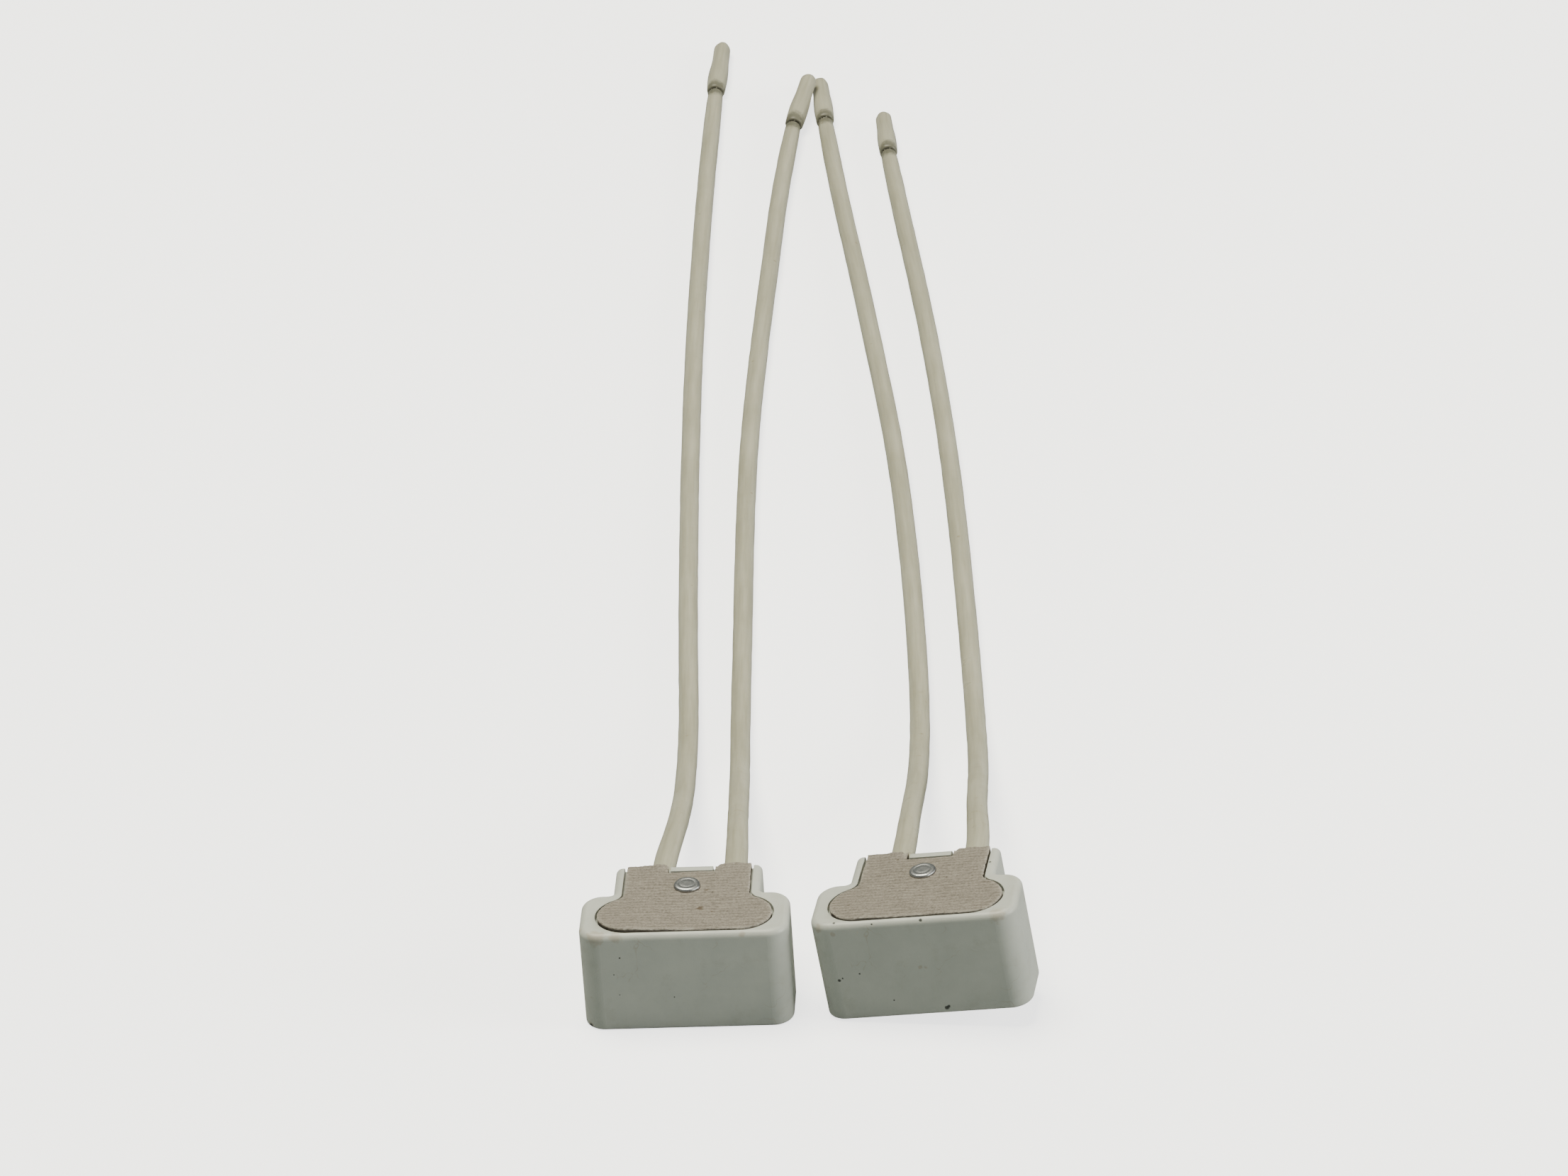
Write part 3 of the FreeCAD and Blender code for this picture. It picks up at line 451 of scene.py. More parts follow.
def makeCoverPlate(side, seed):
    # Board: x = u * half width(y) on a u, y grid. Its top has ribs along x, cos(2 pi y / pitch),
    # a worn, rounded edge, and a rear lip pushed up and torn where the leads lie under it.
    # Lengths are in the holder's own millimetres until the last turn into the frame.
    spin, place = holders[side]
    y, half = coverOutline(cover["rows"])
    n = cover["neck"] / 2
    edge = 1 - np.geomspace(0.0006, 0.06, 8)
    marks = [-1, cover["notchLeft"] / n, cover["notchRight"] / n, 1]
    inner = [np.linspace(-edge[-1], marks[1], 56), np.linspace(marks[1], marks[2], 56)[1:],
             np.linspace(marks[2], edge[-1], 56)[1:]]
    u = np.concatenate([[-1], -edge[:-1], *inner, edge[:-1][::-1], [1]])
    yGrid, uGrid = np.meshgrid(y, u, indexing="ij")
    halfGrid = half[:, None] + 0 * uGrid
    ragged = 0.05 * softNoise(yGrid, 40 + np.sign(uGrid) * 9, 0.5, seed)
    x = uGrid * (halfGrid + ragged * np.abs(uGrid) ** 8)
    lip = np.clip((yGrid - cover["lipStart"]) / cover["lipLength"], 0, 1)
    leadSpots = cover["leadsUnder"][side]
    hump = sum(np.exp(-((x - spot) / cover["humpWidth"]) ** 2) for spot in leadSpots)
    tearSpots = [spot + beside for spot, beside in zip(leadSpots, cover["tearsBeside"])]
    tears = sum(np.exp(-((x - spot) / cover["tearWidth"]) ** 2) for spot in tearSpots)
    rearRagged = softNoise(x, 0 * x, 0.5, seed + 1) + 0.5 * softNoise(x, 0 * x, 0.17, seed + 2)
    yNew = yGrid + lip * (0.1 * rearRagged + 0.05 * hump - cover["tearDepth"] * tears)
    toEdge = np.clip(np.minimum(halfGrid - np.abs(x), yGrid - cover["front"] + 0.02), 0, None)
    rounding = cover["edgeRound"] * np.exp(-toEdge / cover["edgeReach"])
    wave = cover["wave"] * softNoise(x, yGrid, 3.0, seed + 3)
    ribs = 0.5 + 0.5 * np.cos(2 * np.pi * (yGrid + wave) / cover["ribPitch"])
    ribs = ribs * (0.75 + 0.35 * softNoise(x * 0.5, yGrid, 0.9, seed + 8))
    weave = softNoise(x * 0.4, yGrid, 0.13, seed + 4)
    swell = cover["swell"] * softNoise(x, yGrid, 2.4, seed + 5)
    height = cover["ribHeight"] * ribs + cover["weave"] * weave + swell
    raised = cover["humpHeight"] * lip ** 2 * hump + cover["swell"] * lip * softNoise(x, yGrid, 0.9, seed + 6)
    (warpX, warpY), (wide, deep) = cover["warpAt"], cover["warpReach"]
    warp = cover["warp"][side] * np.exp(-((x - warpX) / wide) ** 2 - ((yGrid - warpY) / deep) ** 2)
    # it lies lower towards the land
    sag = -cover["lift"] * 0.8 * np.clip((yGrid - cover["sagStart"]) / cover["sagLength"], 0, 1)
    flat = cover["under"] + cover["thickness"] + cover["lift"]
    top = flat + sag - rounding + height - cover["swell"] + raised + warp
    bottom = cover["under"] + 0.02 + 0.8 * raised + warp
    crush = 1 + 0.003 * softNoise(x, yGrid, 0.4, seed + 7)
    layers = [np.stack([x, yNew, top], -1),
              np.stack([x * crush, yNew, 0.72 * top + 0.28 * bottom], -1),
              np.stack([x * crush, yNew, 0.35 * top + 0.65 * bottom], -1),
              np.stack([x * 0.996, yNew - 0.03 * lip, bottom], -1)]
    solid = np.ones((len(y) - 1, len(u) - 1), bool)
    uMiddle = (u[1:] + u[:-1]) / 2
    inNotch = (uMiddle > marks[1]) & (uMiddle < marks[2])
    solid[np.ix_(y[:-1] >= cover["notchFront"] - 0.02, inNotch)] = False
    holeAway = np.hypot((x[1:, 1:] + x[:-1, :-1]) / 2, (yGrid[1:, 1:] + yGrid[:-1, :-1]) / 2 - rivet["back"])
    solid[holeAway < rivet["hole"] - 0.1] = False
    points, faces, used = slab(layers, solid)
    wear = 1.2 * np.exp(-toEdge / cover["wearReach"]) + 0.8 * lip * tears + 0.25 * lip * hump
    # painted shade: the second mask darkens the board's side walls and underside, standing in for the shade
    # in the gap round the board
    masks = {"wear": [wear, 0.35 * wear, 0 * wear, 0 * wear],
             "paintedEdgeShade": [0 * wear, 0.85 + 0 * wear, 1 + 0 * wear, 1 + 0 * wear]}
    points = points @ spin.T * mm + place
    piece = linkMesh(side + "_cover_board", points, faces)
    for label, values in masks.items():
        values = np.concatenate([value.ravel() for value in values])[used]
        layer = piece.data.attributes.new(label, "FLOAT", "POINT")
        layer.data.foreach_set("value", values.astype(np.float32))
    mergeAndTurnOut(piece)
    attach(piece, "holders")
    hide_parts(side + "_cover_plate")
    return piece


def slab(layers, solid):
    # closed slab from stacked grids: top and bottom cells where solid, walls round every border
    rows, columns = layers[0].shape[:2]
    count = rows * columns
    number = np.arange(count).reshape(rows, columns)
    a, b, c, e = number[:-1, :-1], number[:-1, 1:], number[1:, 1:], number[1:, :-1]
    cells = np.stack([a, b, c, e], -1)[solid]
    deep = (len(layers) - 1) * count
    faces = [cells, cells[:, ::-1] + deep]
    padded = np.pad(solid, 1)
    sides = {(-1, 0): (a, b), (1, 0): (c, e), (0, -1): (e, a), (0, 1): (b, c)}
    for (down, across), (first, second) in sides.items():
        beside = padded[1 + down:rows + down, 1 + across:columns + across]
        border = solid & ~beside
        p, q = first[border], second[border]
        for layer in range(len(layers) - 1):
            here, there = layer * count, (layer + 1) * count
            faces.append(np.stack([q + here, p + here, p + there, q + there], -1))
    faces = np.concatenate(faces)
    points = np.concatenate([layer.reshape(-1, 3) for layer in layers])
    used, renumbered = np.unique(faces, return_inverse=True)
    return points[used], renumbered.reshape(faces.shape), used


def makeRivet(side, seed):
    # turned about its own axis: pressed flat head with a shallow ring, shank, rolled hollow end
    spin, place = holders[side]
    head, top = rivet["head"], cover["under"] + cover["thickness"] + cover["lift"] - 0.04
    h = rivet["headHeight"]
    # (radius, height) in mm
    profile = [(0, top + h - 0.05), (0.5, top + h - 0.045), (1.0, top + h - 0.03), (1.08, top + h - 0.06),
               (1.18, top + h - 0.015), (1.5, top + h), (1.66, top + h - 0.03), (1.8, top + h - 0.11),
               (head - 0.03, top + h - 0.24), (head, top + 0.14), (head - 0.04, top + 0.06),
               (head - 0.25, top + 0.03), (rivet["shank"], top - 0.02), (rivet["shank"], 1.6),
               (1.75, 1.58), (2.1, 1.45), (2.2, 1.28), (2.1, 1.12), (1.6, 1.0), (1.05, 0.86),
               (0.8, 0.9), (0.75, 1.2), (0.75, 4.2), (0.4, 4.45), (0, 4.55)]
    profile = [(r * mm, z * mm) for r, z in profile]
    matrix = Matrix(spin.tolist()).to_4x4()
    matrix.translation = Vector(spin @ np.array([0, rivet["back"], 0]) * mm + place)
    piece = turned(side + "_rivet", profile, 72, matrix, 0.035, seed)
    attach(piece, "holders")
    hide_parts(side + "_cover_rivet")
    return piece


coverPieces = {side: makeCoverPlate(side, seed) for side, seed in (("left", 31), ("right", 47))}
rivetPieces = {side: makeRivet(side, seed) for side, seed in (("left", 5), ("right", 8))}
print("cover boards and rivets made")


# shared node groups

def newGroup(name, inputs, outputs):
    group = bpy.data.node_groups.new(name, "ShaderNodeTree")
    for label, kind, value in inputs:
        socket = group.interface.new_socket(label, in_out="INPUT", socket_type=kind)
        if value is not None:
            socket.default_value = value
    for label, kind in outputs:
        group.interface.new_socket(label, in_out="OUTPUT", socket_type=kind)
    return group, group.links, group.nodes.new("NodeGroupInput"), group.nodes.new("NodeGroupOutput")


def mathNode(tree, how, *values, clamp=False):
    node = tree.nodes.new("ShaderNodeMath")
    node.operation = how
    node.use_clamp = clamp
    for slotNumber, value in enumerate(values):
        if isinstance(value, (int, float)):
            node.inputs[slotNumber].default_value = value
        else:
            tree.links.new(value, node.inputs[slotNumber])
    return node.outputs[0]


def noiseNode(tree, vector, scale, detail, roughness=0.5):
    node = tree.nodes.new("ShaderNodeTexNoise")
    tree.links.new(vector, node.inputs["Vector"])
    for label, value in (("Scale", scale), ("Detail", detail), ("Roughness", roughness)):
        if isinstance(value, (int, float)):
            node.inputs[label].default_value = value
        else:
            tree.links.new(value, node.inputs[label])
    return node.outputs["Fac"]


def rangeNode(tree, value, low, high):
    # smooth step from 0 at low to 1 at high; low may be the larger of the two
    node = tree.nodes.new("ShaderNodeMapRange")
    node.interpolation_type = "SMOOTHSTEP"
    tree.links.new(value, node.inputs["Value"])
    for label, number in (("From Min", low), ("From Max", high)):
        if isinstance(number, (int, float)):
            node.inputs[label].default_value = number
        else:
            tree.links.new(number, node.inputs[label])
    return node.outputs["Result"]


def mixColour(tree, share, first, second):
    node = tree.nodes.new("ShaderNodeMix")
    node.data_type = "RGBA"
    for label, value in ((0, share), (6, first), (7, second)):
        if isinstance(value, tuple):
            node.inputs[label].default_value = (*value, 1)
        else:
            tree.links.new(value, node.inputs[label])
    return node.outputs[2]


def makeSpotGroup():
    # soft round mark: 1 at Centre, 0 beyond Radius, its border roughened by noise
    group, links, enter, leave = newGroup("spotMark", [
        ("Vector", "NodeSocketVector", None), ("Centre", "NodeSocketVector", (0, 0, 0)),
        ("Radius", "NodeSocketFloat", 1.0), ("Ragged", "NodeSocketFloat", 0.4)],
        [("Mask", "NodeSocketFloat")])
    away = group.nodes.new("ShaderNodeVectorMath")
    away.operation = "DISTANCE"
    links.new(enter.outputs["Vector"], away.inputs[0])
    links.new(enter.outputs["Centre"], away.inputs[1])
    rough = noiseNode(group, enter.outputs["Vector"], 1.6, 3)
    shift = mathNode(group, "MULTIPLY", mathNode(group, "SUBTRACT", rough, 0.5), enter.outputs["Ragged"])
    share = mathNode(group, "DIVIDE", away.outputs["Value"], enter.outputs["Radius"])
    reach = mathNode(group, "ADD", share, shift)
    links.new(rangeNode(group, reach, 1.0, 0.45), leave.inputs["Mask"])
    return group


def makeSpeckGroup():
    # scattered small dark pits: Voronoi cells, a few of them marked at their centres
    group, links, enter, leave = newGroup("speckField", [
        ("Vector", "NodeSocketVector", None), ("Scale", "NodeSocketFloat", 1.0),
        ("Share", "NodeSocketFloat", 0.1), ("Size", "NodeSocketFloat", 0.2)],
        [("Mask", "NodeSocketFloat")])
    cells = group.nodes.new("ShaderNodeTexVoronoi")
    links.new(enter.outputs["Vector"], cells.inputs["Vector"])
    links.new(enter.outputs["Scale"], cells.inputs["Scale"])
    pick = group.nodes.new("ShaderNodeSeparateColor")
    links.new(cells.outputs["Color"], pick.inputs[0])
    chosen = mathNode(group, "LESS_THAN", pick.outputs["Red"], enter.outputs["Share"])
    size = mathNode(group, "MULTIPLY", enter.outputs["Size"],
                    mathNode(group, "ADD", pick.outputs["Green"], 0.35))
    inside = rangeNode(group, cells.outputs["Distance"], size, mathNode(group, "MULTIPLY", size, 0.5))
    links.new(mathNode(group, "MULTIPLY", inside, chosen), leave.inputs["Mask"])
    return group


def makeGrainGroup():
    # two noises, broad and fine, each centred on 0, for colour drift and surface height
    group, links, enter, leave = newGroup("grainField", [
        ("Vector", "NodeSocketVector", None), ("Broad", "NodeSocketFloat", 0.15),
        ("Fine", "NodeSocketFloat", 4.0)],
        [("Drift", "NodeSocketFloat"), ("Grain", "NodeSocketFloat")])
    broad = noiseNode(group, enter.outputs["Vector"], enter.outputs["Broad"], 4, 0.55)
    fine = noiseNode(group, enter.outputs["Vector"], enter.outputs["Fine"], 6, 0.65)
    links.new(mathNode(group, "SUBTRACT", broad, 0.5), leave.inputs["Drift"])
    links.new(mathNode(group, "SUBTRACT", fine, 0.5), leave.inputs["Grain"])
    return group


def makeScuffGroup():
    # broad handling smudges, and hairlines where a slow noise crosses its middle value
    group, links, enter, leave = newGroup("scuffField", [
        ("Vector", "NodeSocketVector", None), ("Scale", "NodeSocketFloat", 0.2),
        ("Width", "NodeSocketFloat", 0.008)],
        [("Smudge", "NodeSocketFloat"), ("Hairline", "NodeSocketFloat")])
    cloud = noiseNode(group, enter.outputs["Vector"], enter.outputs["Scale"], 6, 0.68)
    links.new(rangeNode(group, cloud, 0.52, 0.70), leave.inputs["Smudge"])
    twice = mathNode(group, "MULTIPLY", enter.outputs["Scale"], 1.7)
    crossing = mathNode(group, "ABSOLUTE", mathNode(
        group, "SUBTRACT", noiseNode(group, enter.outputs["Vector"], twice, 2, 0.4), 0.5))
    line = rangeNode(group, crossing, enter.outputs["Width"], 0.0)
    handled = rangeNode(group, cloud, 0.50, 0.60)
    links.new(mathNode(group, "MULTIPLY", line, handled), leave.inputs["Hairline"])
    return group


spotGroup, speckGroup = makeSpotGroup(), makeSpeckGroup()
grainGroup, scuffGroup = makeGrainGroup(), makeScuffGroup()


def useGroup(tree, group, vector, output, **values):
    node = tree.nodes.new("ShaderNodeGroup")
    node.node_tree = group
    tree.links.new(vector, node.inputs["Vector"])
    for label, value in values.items():
        node.inputs[label].default_value = value
    return node.outputs[output]


def newMaterial(name, roughness, metallic=0.0, **sockets):
    material = bpy.data.materials.new(name)
    material.use_nodes = True
    tree = material.node_tree
    shader = tree.nodes["Principled BSDF"]
    shader.inputs["Roughness"].default_value = roughness
    shader.inputs["Metallic"].default_value = metallic
    for label, value in sockets.items():
        shader.inputs[label.replace("_", " ")].default_value = value
    return material, tree, shader


def localMillimetres(tree, side):
    # Object coordinates turned into the holder's own axes, in millimetres
    spin, place = holders[side]
    coordinate = tree.nodes.new("ShaderNodeTexCoord")
    mapping = tree.nodes.new("ShaderNodeMapping")
    inverse = Matrix(spin.tolist()).transposed()
    mapping.inputs["Rotation"].default_value = inverse.to_euler()
    mapping.inputs["Scale"].default_value = (1 / mm, 1 / mm, 1 / mm)
    mapping.inputs["Location"].default_value = -(inverse @ Vector(place)) * (1 / mm)
    tree.links.new(coordinate.outputs["Object"], mapping.inputs["Vector"])
    return mapping.outputs["Vector"]


def plainMillimetres(tree):
    coordinate = tree.nodes.new("ShaderNodeTexCoord")
    mapping = tree.nodes.new("ShaderNodeMapping")
    mapping.inputs["Scale"].default_value = (1 / mm, 1 / mm, 1 / mm)
    tree.links.new(coordinate.outputs["Object"], mapping.inputs["Vector"])
    return mapping.outputs["Vector"]


def bump(tree, shader, height, distance, strength):
    node = tree.nodes.new("ShaderNodeBump")
    node.inputs["Strength"].default_value = strength
    node.inputs["Distance"].default_value = distance
    tree.links.new(height, node.inputs["Height"])
    tree.links.new(node.outputs["Normal"], shader.inputs["Normal"])


def attributeNode(tree, name, output):
    node = tree.nodes.new("ShaderNodeAttribute")
    node.attribute_name = name
    return node.outputs[output]


def scaled(tree, value, factor, offset=0.0):
    return mathNode(tree, "MULTIPLY_ADD", value, factor, offset)


# materials

ceramic = {"light": (0.58, 0.60, 0.555), "dull": (0.50, 0.525, 0.49), "smudge": (0.44, 0.45, 0.40),
           "stain": (0.36, 0.29, 0.21), "pit": (0.025, 0.03, 0.025), "roughness": 0.42,
           "smudged": 0.34, "scratched": 0.4, "specked": 0.75, "stained": 0.42, "pitted": 0.93,
           "bump": 0.00006}
ceramicMarks = {  # centre in the holder's axes, mm, and radius, mm
    "left": {"stains": [((-12.6, 0.2, 15.5), 1.7), ((-9.6, 0.15, 15.6), 1.1), ((-15, 2.6, 15.2), 0.8),
                        ((8.5, 0.1, 15.7), 0.7), ((-14.1, 0.9, 0.5), 0.7)],
             "pits": [((-14.1, 0.9, 0.35), 0.45), ((-9.2, 0.0, 12.2), 0.16), ((-10.2, 0, 9.4), 0.12),
                      ((-9.6, 0, 6.0), 0.1), ((-1.8, 0, 5.4), 0.14)]},
    "right": {"stains": [((-13.6, 0.6, 15.2), 0.8), ((12.4, 0.6, 15.4), 1.4), ((-11.5, 0.1, 14.4), 0.5),
                         ((0.1, 0, 8.0), 0.4), ((0.9, 0, 7.9), 0.35)],
              "pits": [((2.8, 0, 0.95), 0.44), ((3.1, 0, 1.2), 0.3), ((-11.9, 0, 6.7), 0.28),
                       ((-11.4, 0, 7.0), 0.18), ((-8.8, 0, 7.6), 0.18), ((-4.6, 0, 2.8), 0.16),
                       ((1.4, 0.25, 15.6), 0.3), ((-11.2, 0.7, 15.85), 0.22), ((-5.7, 0.2, 15.5), 0.2),
                       ((12.6, 2.2, 15.7), 0.22), ((14.6, 6.0, 12.5), 0.16), ((14.8, 7.2, 4.6), 0.16),
                       ((9.6, 14.5, 15.85), 0.22)]},
}


def makeCeramic(side):
    material, tree, shader = newMaterial(side + "Ceramic", ceramic["roughness"], IOR=1.5,
                                         Subsurface_Weight=0.12, Subsurface_Scale=0.0012)
    shader.inputs["Subsurface Radius"].default_value = (1.0, 0.9, 0.75)
    place = localMillimetres(tree, side)
    drift = useGroup(tree, grainGroup, place, "Drift", Broad=0.14)
    grain = useGroup(tree, grainGroup, place, "Grain", Fine=6.0)
    share = mathNode(tree, "MULTIPLY_ADD", drift, 2.2, 0.5, clamp=True)
    colour = mixColour(tree, share, ceramic["light"], ceramic["dull"])
    smudge = useGroup(tree, scuffGroup, place, "Smudge", Scale=0.24)
    colour = mixColour(tree, scaled(tree, smudge, ceramic["smudged"]), colour, ceramic["smudge"])
    hairline = useGroup(tree, scuffGroup, place, "Hairline", Scale=0.13, Width=0.006)
    colour = mixColour(tree, scaled(tree, hairline, ceramic["scratched"]), colour, ceramic["stain"])
    specks = useGroup(tree, speckGroup, place, "Mask", Scale=0.55, Share=0.05, Size=0.09)
    colour = mixColour(tree, scaled(tree, specks, ceramic["specked"]), colour, ceramic["pit"])
    for centre, radius in ceramicMarks[side]["stains"]:
        mask = useGroup(tree, spotGroup, place, "Mask", Centre=centre, Radius=radius, Ragged=1.3)
        colour = mixColour(tree, scaled(tree, mask, ceramic["stained"]), colour, ceramic["stain"])
    pits = specks
    for centre, radius in ceramicMarks[side]["pits"]:
        mask = useGroup(tree, spotGroup, place, "Mask", Centre=centre, Radius=radius, Ragged=0.9)
        colour = mixColour(tree, scaled(tree, mask, ceramic["pitted"]), colour, ceramic["pit"])
        pits = mathNode(tree, "MAXIMUM", pits, mask)
    tree.links.new(colour, shader.inputs["Base Color"])
    tree.links.new(scaled(tree, drift, 0.35, ceramic["roughness"]), shader.inputs["Roughness"])
    height = mathNode(tree, "SUBTRACT", scaled(tree, grain, 0.12), pits)
    bump(tree, shader, height, ceramic["bump"], 0.8)
    return material


# the near-black side-wall colour and its share below are painted shade for the gap round the board
board = {"crest": (0.315, 0.287, 0.248), "valley": (0.145, 0.127, 0.108), "pale": (0.43, 0.405, 0.36),
         "paintedEdgeShade": (0.12, 0.10, 0.08), "speck": (0.04, 0.03, 0.02), "burn": (0.08, 0.055, 0.03),
         "roughness": 0.82, "flecked": 0.7, "specked": 0.6, "burnt": 0.8, "paintedEdgeShading": 0.9,
         "bump": 0.00012}
boardBurns = {"left": [((2.3, 6.6, 15.85), 0.75), ((3.9, 5.7, 15.85), 0.3), ((2.9, 11.6, 15.85), 0.4)],
              "right": [((-9.6, 4.9, 15.85), 0.35), ((1.0, 14.3, 15.85), 0.5), ((-4.3, 16.9, 15.85), 0.3)]}


def makeBoard(side):
    material, tree, shader = newMaterial(side + "Board", board["roughness"])
    place = localMillimetres(tree, side)
    parts = tree.nodes.new("ShaderNodeSeparateXYZ")
    tree.links.new(place, parts.inputs[0])
    fibre = tree.nodes.new("ShaderNodeMapping")
    fibre.inputs["Scale"].default_value = (0.6, 1.8, 1.5)
    tree.links.new(place, fibre.inputs["Vector"])
    fibres = noiseNode(tree, fibre.outputs["Vector"], 2.4, 6, 0.7)
    drift = useGroup(tree, grainGroup, place, "Drift", Broad=0.4)
    grain = useGroup(tree, grainGroup, place, "Grain", Fine=3.6)
    phase = scaled(tree, mathNode(tree, "ADD", parts.outputs["Y"], scaled(tree, drift, 0.4)),
                   2 * math.pi / cover["ribPitch"])
    ribs = scaled(tree, mathNode(tree, "COSINE", phase), 0.5, 0.5)
    blotch = noiseNode(tree, fibre.outputs["Vector"], 0.9, 4, 0.6)
    mixture = mathNode(tree, "ADD", scaled(tree, ribs, 0.30), scaled(tree, fibres, 1.4, -0.52))
    mixture = mathNode(tree, "ADD", mixture, scaled(tree, blotch, 0.9, -0.28))
    mixture = mathNode(tree, "ADD", mixture, scaled(tree, grain, 2.4), clamp=True)
    colour = mixColour(tree, mixture, board["valley"], board["crest"])
    flecks = rangeNode(tree, noiseNode(tree, fibre.outputs["Vector"], 5.5, 3, 0.6), 0.62, 0.78)
    colour = mixColour(tree, scaled(tree, flecks, board["flecked"]), colour, board["pale"])
    specks = useGroup(tree, speckGroup, place, "Mask", Scale=0.8, Share=0.10, Size=0.16)
    colour = mixColour(tree, scaled(tree, specks, board["specked"]), colour, board["speck"])
    wear = attributeNode(tree, "wear", "Fac")
    frayed = mathNode(tree, "MULTIPLY", wear, rangeNode(tree, fibres, 0.35, 0.62), clamp=True)
    colour = mixColour(tree, frayed, colour, board["pale"])
    # painted shade: the board's side walls and underside darkened, for the shade in the gap round it
    paintedEdgeShade = scaled(tree, attributeNode(tree, "paintedEdgeShade", "Fac"), board["paintedEdgeShading"])
    colour = mixColour(tree, paintedEdgeShade, colour, board["paintedEdgeShade"])
    for centre, radius in boardBurns[side]:
        mask = useGroup(tree, spotGroup, place, "Mask", Centre=centre, Radius=radius, Ragged=1.4)
        colour = mixColour(tree, scaled(tree, mask, board["burnt"]), colour, board["burn"])
    tree.links.new(colour, shader.inputs["Base Color"])
    height = mathNode(tree, "ADD", fibres, scaled(tree, grain, 0.8))
    bump(tree, shader, height, board["bump"], 0.7)
    return material


# the darkest sleeve colour below, with its radius and share, is painted shade over the bared gap at the tip
sleeve = {"cream": (0.475, 0.465, 0.375), "dull": (0.365, 0.355, 0.275), "stain": (0.24, 0.17, 0.09),
          "paintedGapShade": (0.10, 0.10, 0.075), "roughness": 0.36, "paintedGapShadeRadius": 3.4, "paintedGapShaded": 0.82,
          "stained": 0.45, "specked": 0.45, "bump": 0.00012,
          # y in mm where the stains from handling fade out
          "stainEnds": {"left_outer": 60, "left_inner": 70, "right_inner": 110, "right_outer": 60}}


def paintedGapShadeCentre(name):
    # top of the bared gap, where insulation and strands are darkened as painted shade
    start, end = Vector(leadRoutes[name][-1]), Vector(leadTips[name])
    return start + (end - start).normalized() * tip["gap"] * 0.15 + Vector((0, 0, lead["radius"]))


def makeSleeve(name):
    # flexible insulation: slightly translucent, faint marks along it, brown stains near the holder, and
    # painted shade over the bared gap
    material, tree, shader = newMaterial(name + "Sleeve", sleeve["roughness"], IOR=1.43,
                                         Subsurface_Weight=0.25, Subsurface_Scale=0.0015)
    shader.inputs["Subsurface Radius"].default_value = (1.0, 0.85, 0.6)
    place = plainMillimetres(tree)
    stretch = tree.nodes.new("ShaderNodeMapping")
    stretch.inputs["Scale"].default_value = (1, 1, 0.035)
    tree.links.new(attributeNode(tree, "flow", "Vector"), stretch.inputs["Vector"])
    drift = useGroup(tree, grainGroup, place, "Drift", Broad=0.09)
    streaks = noiseNode(tree, stretch.outputs["Vector"], 1.9, 3, 0.6)
    share = mathNode(tree, "ADD", scaled(tree, drift, 1.3, 0.5), scaled(tree, streaks, 2.2, -1.1), clamp=True)
    colour = mixColour(tree, share, sleeve["cream"], sleeve["dull"])
    parts = tree.nodes.new("ShaderNodeSeparateXYZ")
    tree.links.new(place, parts.inputs[0])
    stainEnd = sleeve["stainEnds"][name]
    near = rangeNode(tree, parts.outputs["Y"], stainEnd, stainEnd * 0.35)
    blotch = rangeNode(tree, noiseNode(tree, place, 0.55, 5, 0.7), 0.56, 0.72)
    stains = scaled(tree, mathNode(tree, "MULTIPLY", near, blotch), sleeve["stained"])
    colour = mixColour(tree, stains, colour, sleeve["stain"])
    specks = useGroup(tree, speckGroup, place, "Mask", Scale=0.5, Share=0.12, Size=0.16)
    colour = mixColour(tree, scaled(tree, specks, sleeve["specked"]), colour, sleeve["stain"])
    # painted shade: a dark spot on the insulation over the bared gap, standing in for the gap's shade
    centre = tuple(value / mm for value in paintedGapShadeCentre(name))
    burnt = useGroup(tree, spotGroup, place, "Mask", Centre=centre, Radius=sleeve["paintedGapShadeRadius"], Ragged=0.6)
    colour = mixColour(tree, scaled(tree, burnt, sleeve["paintedGapShaded"]), colour, sleeve["paintedGapShade"])
    tree.links.new(colour, shader.inputs["Base Color"])
    tree.links.new(scaled(tree, drift, 0.4, sleeve["roughness"]), shader.inputs["Roughness"])
    bump(tree, shader, mathNode(tree, "ADD", streaks, scaled(tree, drift, 0.6)), sleeve["bump"], 0.5)
    return material


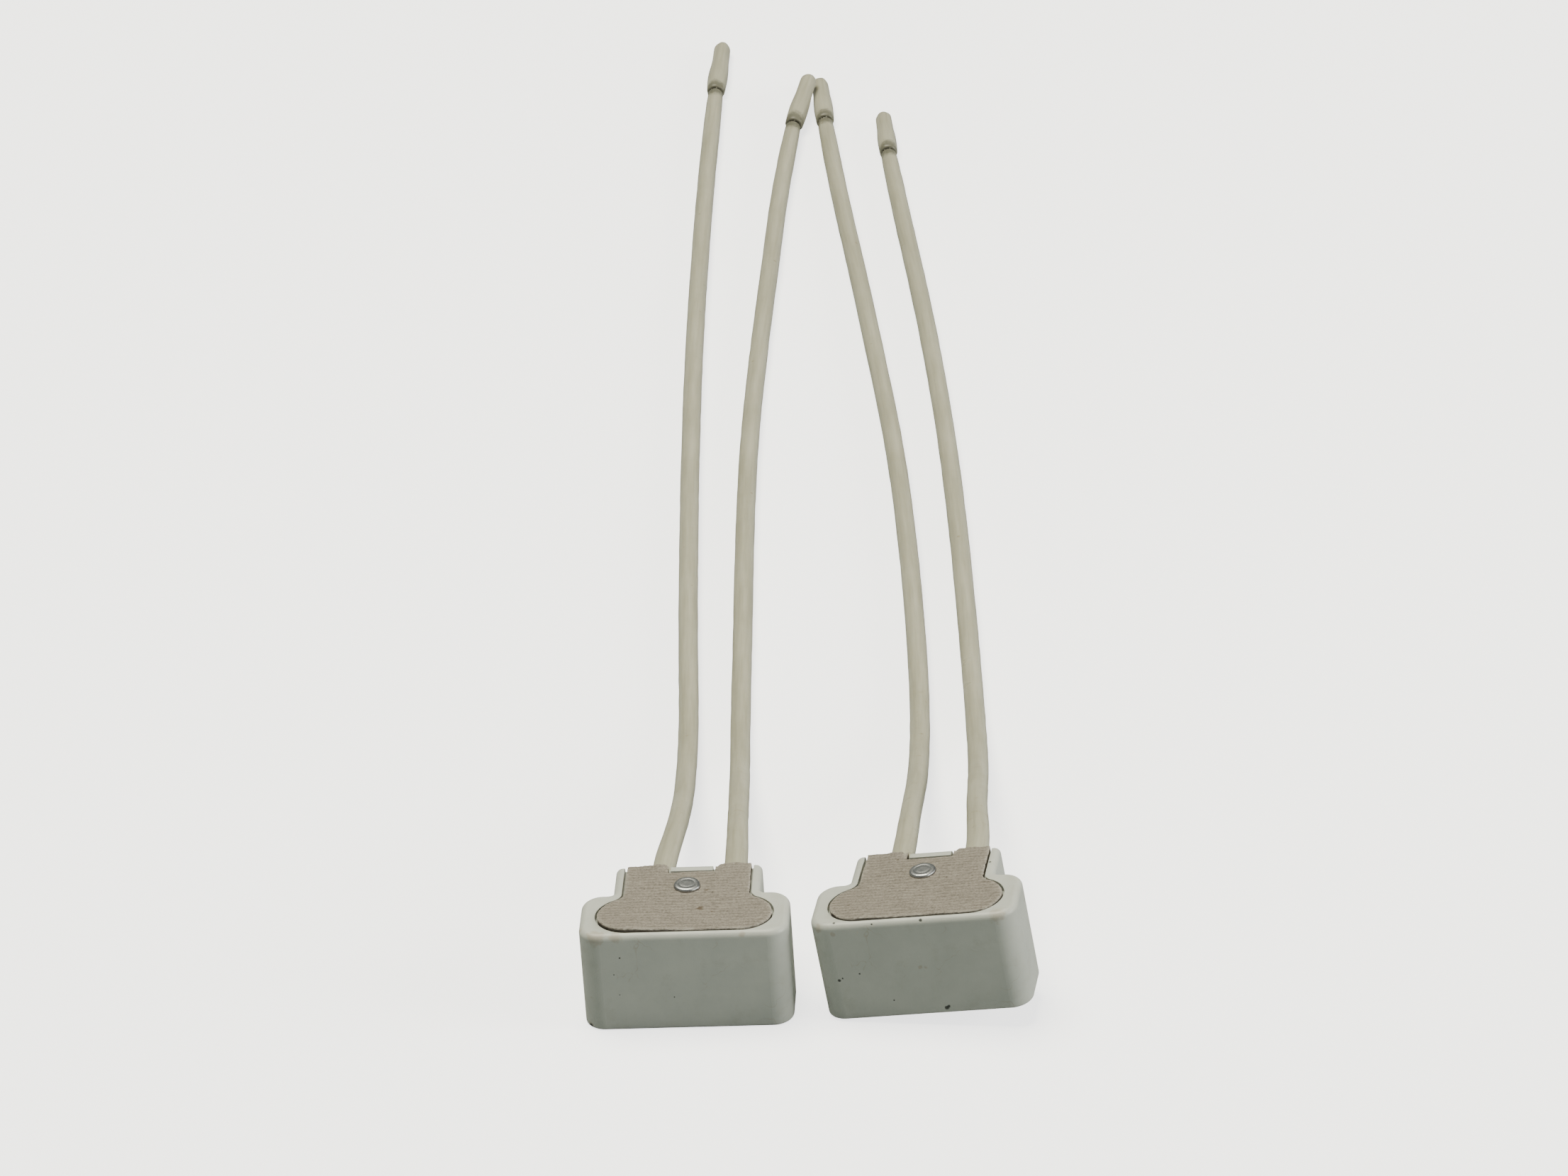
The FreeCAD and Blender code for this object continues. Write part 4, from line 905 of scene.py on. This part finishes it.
metals = {
    "rivetMetal": {"colour": (0.53, 0.545, 0.56), "dark": (0.22, 0.225, 0.235), "roughness": 0.38},
    "brassMetal": {"colour": (0.72, 0.53, 0.25), "dark": (0.36, 0.24, 0.10), "roughness": 0.32},
    "bronzeMetal": {"colour": (0.66, 0.43, 0.26), "dark": (0.33, 0.19, 0.10), "roughness": 0.35},
    "springMetal": {"colour": (0.50, 0.51, 0.53), "dark": (0.22, 0.22, 0.25), "roughness": 0.28},
    "contactMetal": {"colour": (0.82, 0.81, 0.78), "dark": (0.45, 0.44, 0.42), "roughness": 0.2},
    "strandMetal": {"colour": (0.62, 0.58, 0.47), "dark": (0.34, 0.31, 0.24), "roughness": 0.55},
    # painted shade: the bared strands' metal darkened, for the gap lying in shade
    "paintedShadeStrandMetal": {"colour": (0.24, 0.235, 0.195), "dark": (0.12, 0.115, 0.095), "roughness": 0.62},
}


def makeMetal(name, colour, dark, roughness):
    material, tree, shader = newMaterial(name, roughness, 1.0)
    place = plainMillimetres(tree)
    drift = useGroup(tree, grainGroup, place, "Drift", Broad=0.9)
    grain = useGroup(tree, grainGroup, place, "Grain", Fine=10.0)
    share = mathNode(tree, "MULTIPLY_ADD", drift, 2.4, 0.35, clamp=True)
    tree.links.new(mixColour(tree, share, colour, dark), shader.inputs["Base Color"])
    tree.links.new(scaled(tree, drift, 0.5, roughness), shader.inputs["Roughness"])
    bump(tree, shader, grain, 0.00004, 0.6)
    return material


metalMaterials = {name: makeMetal(name, **values) for name, values in metals.items()}


def paint(piece, material):
    piece.data.materials.clear()
    piece.data.materials.append(material)


for side in holders:
    paint(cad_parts[side + "_ceramic_body"], makeCeramic(side))
    paint(coverPieces[side], makeBoard(side))
    paint(rivetPieces[side], metalMaterials["rivetMetal"])
for name in leadRoutes:
    insulation = makeSleeve(name)
    paint(leadPieces[name], insulation)
    paint(slugPieces[name], insulation)
    # the bared strands get the darkened metal: painted shade for the gap
    paint(strandPieces[name], metalMaterials["paintedShadeStrandMetal"])
    for ending, metal in (("terminal", "brassMetal"), ("contact_leaf", "bronzeMetal"),
                          ("spring_leaf", "springMetal"), ("contact_stud", "contactMetal"),
                          ("crimped_strands", "strandMetal")):
        paint(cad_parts[f"{name}_{ending}"], metalMaterials[metal])
print("materials assigned")
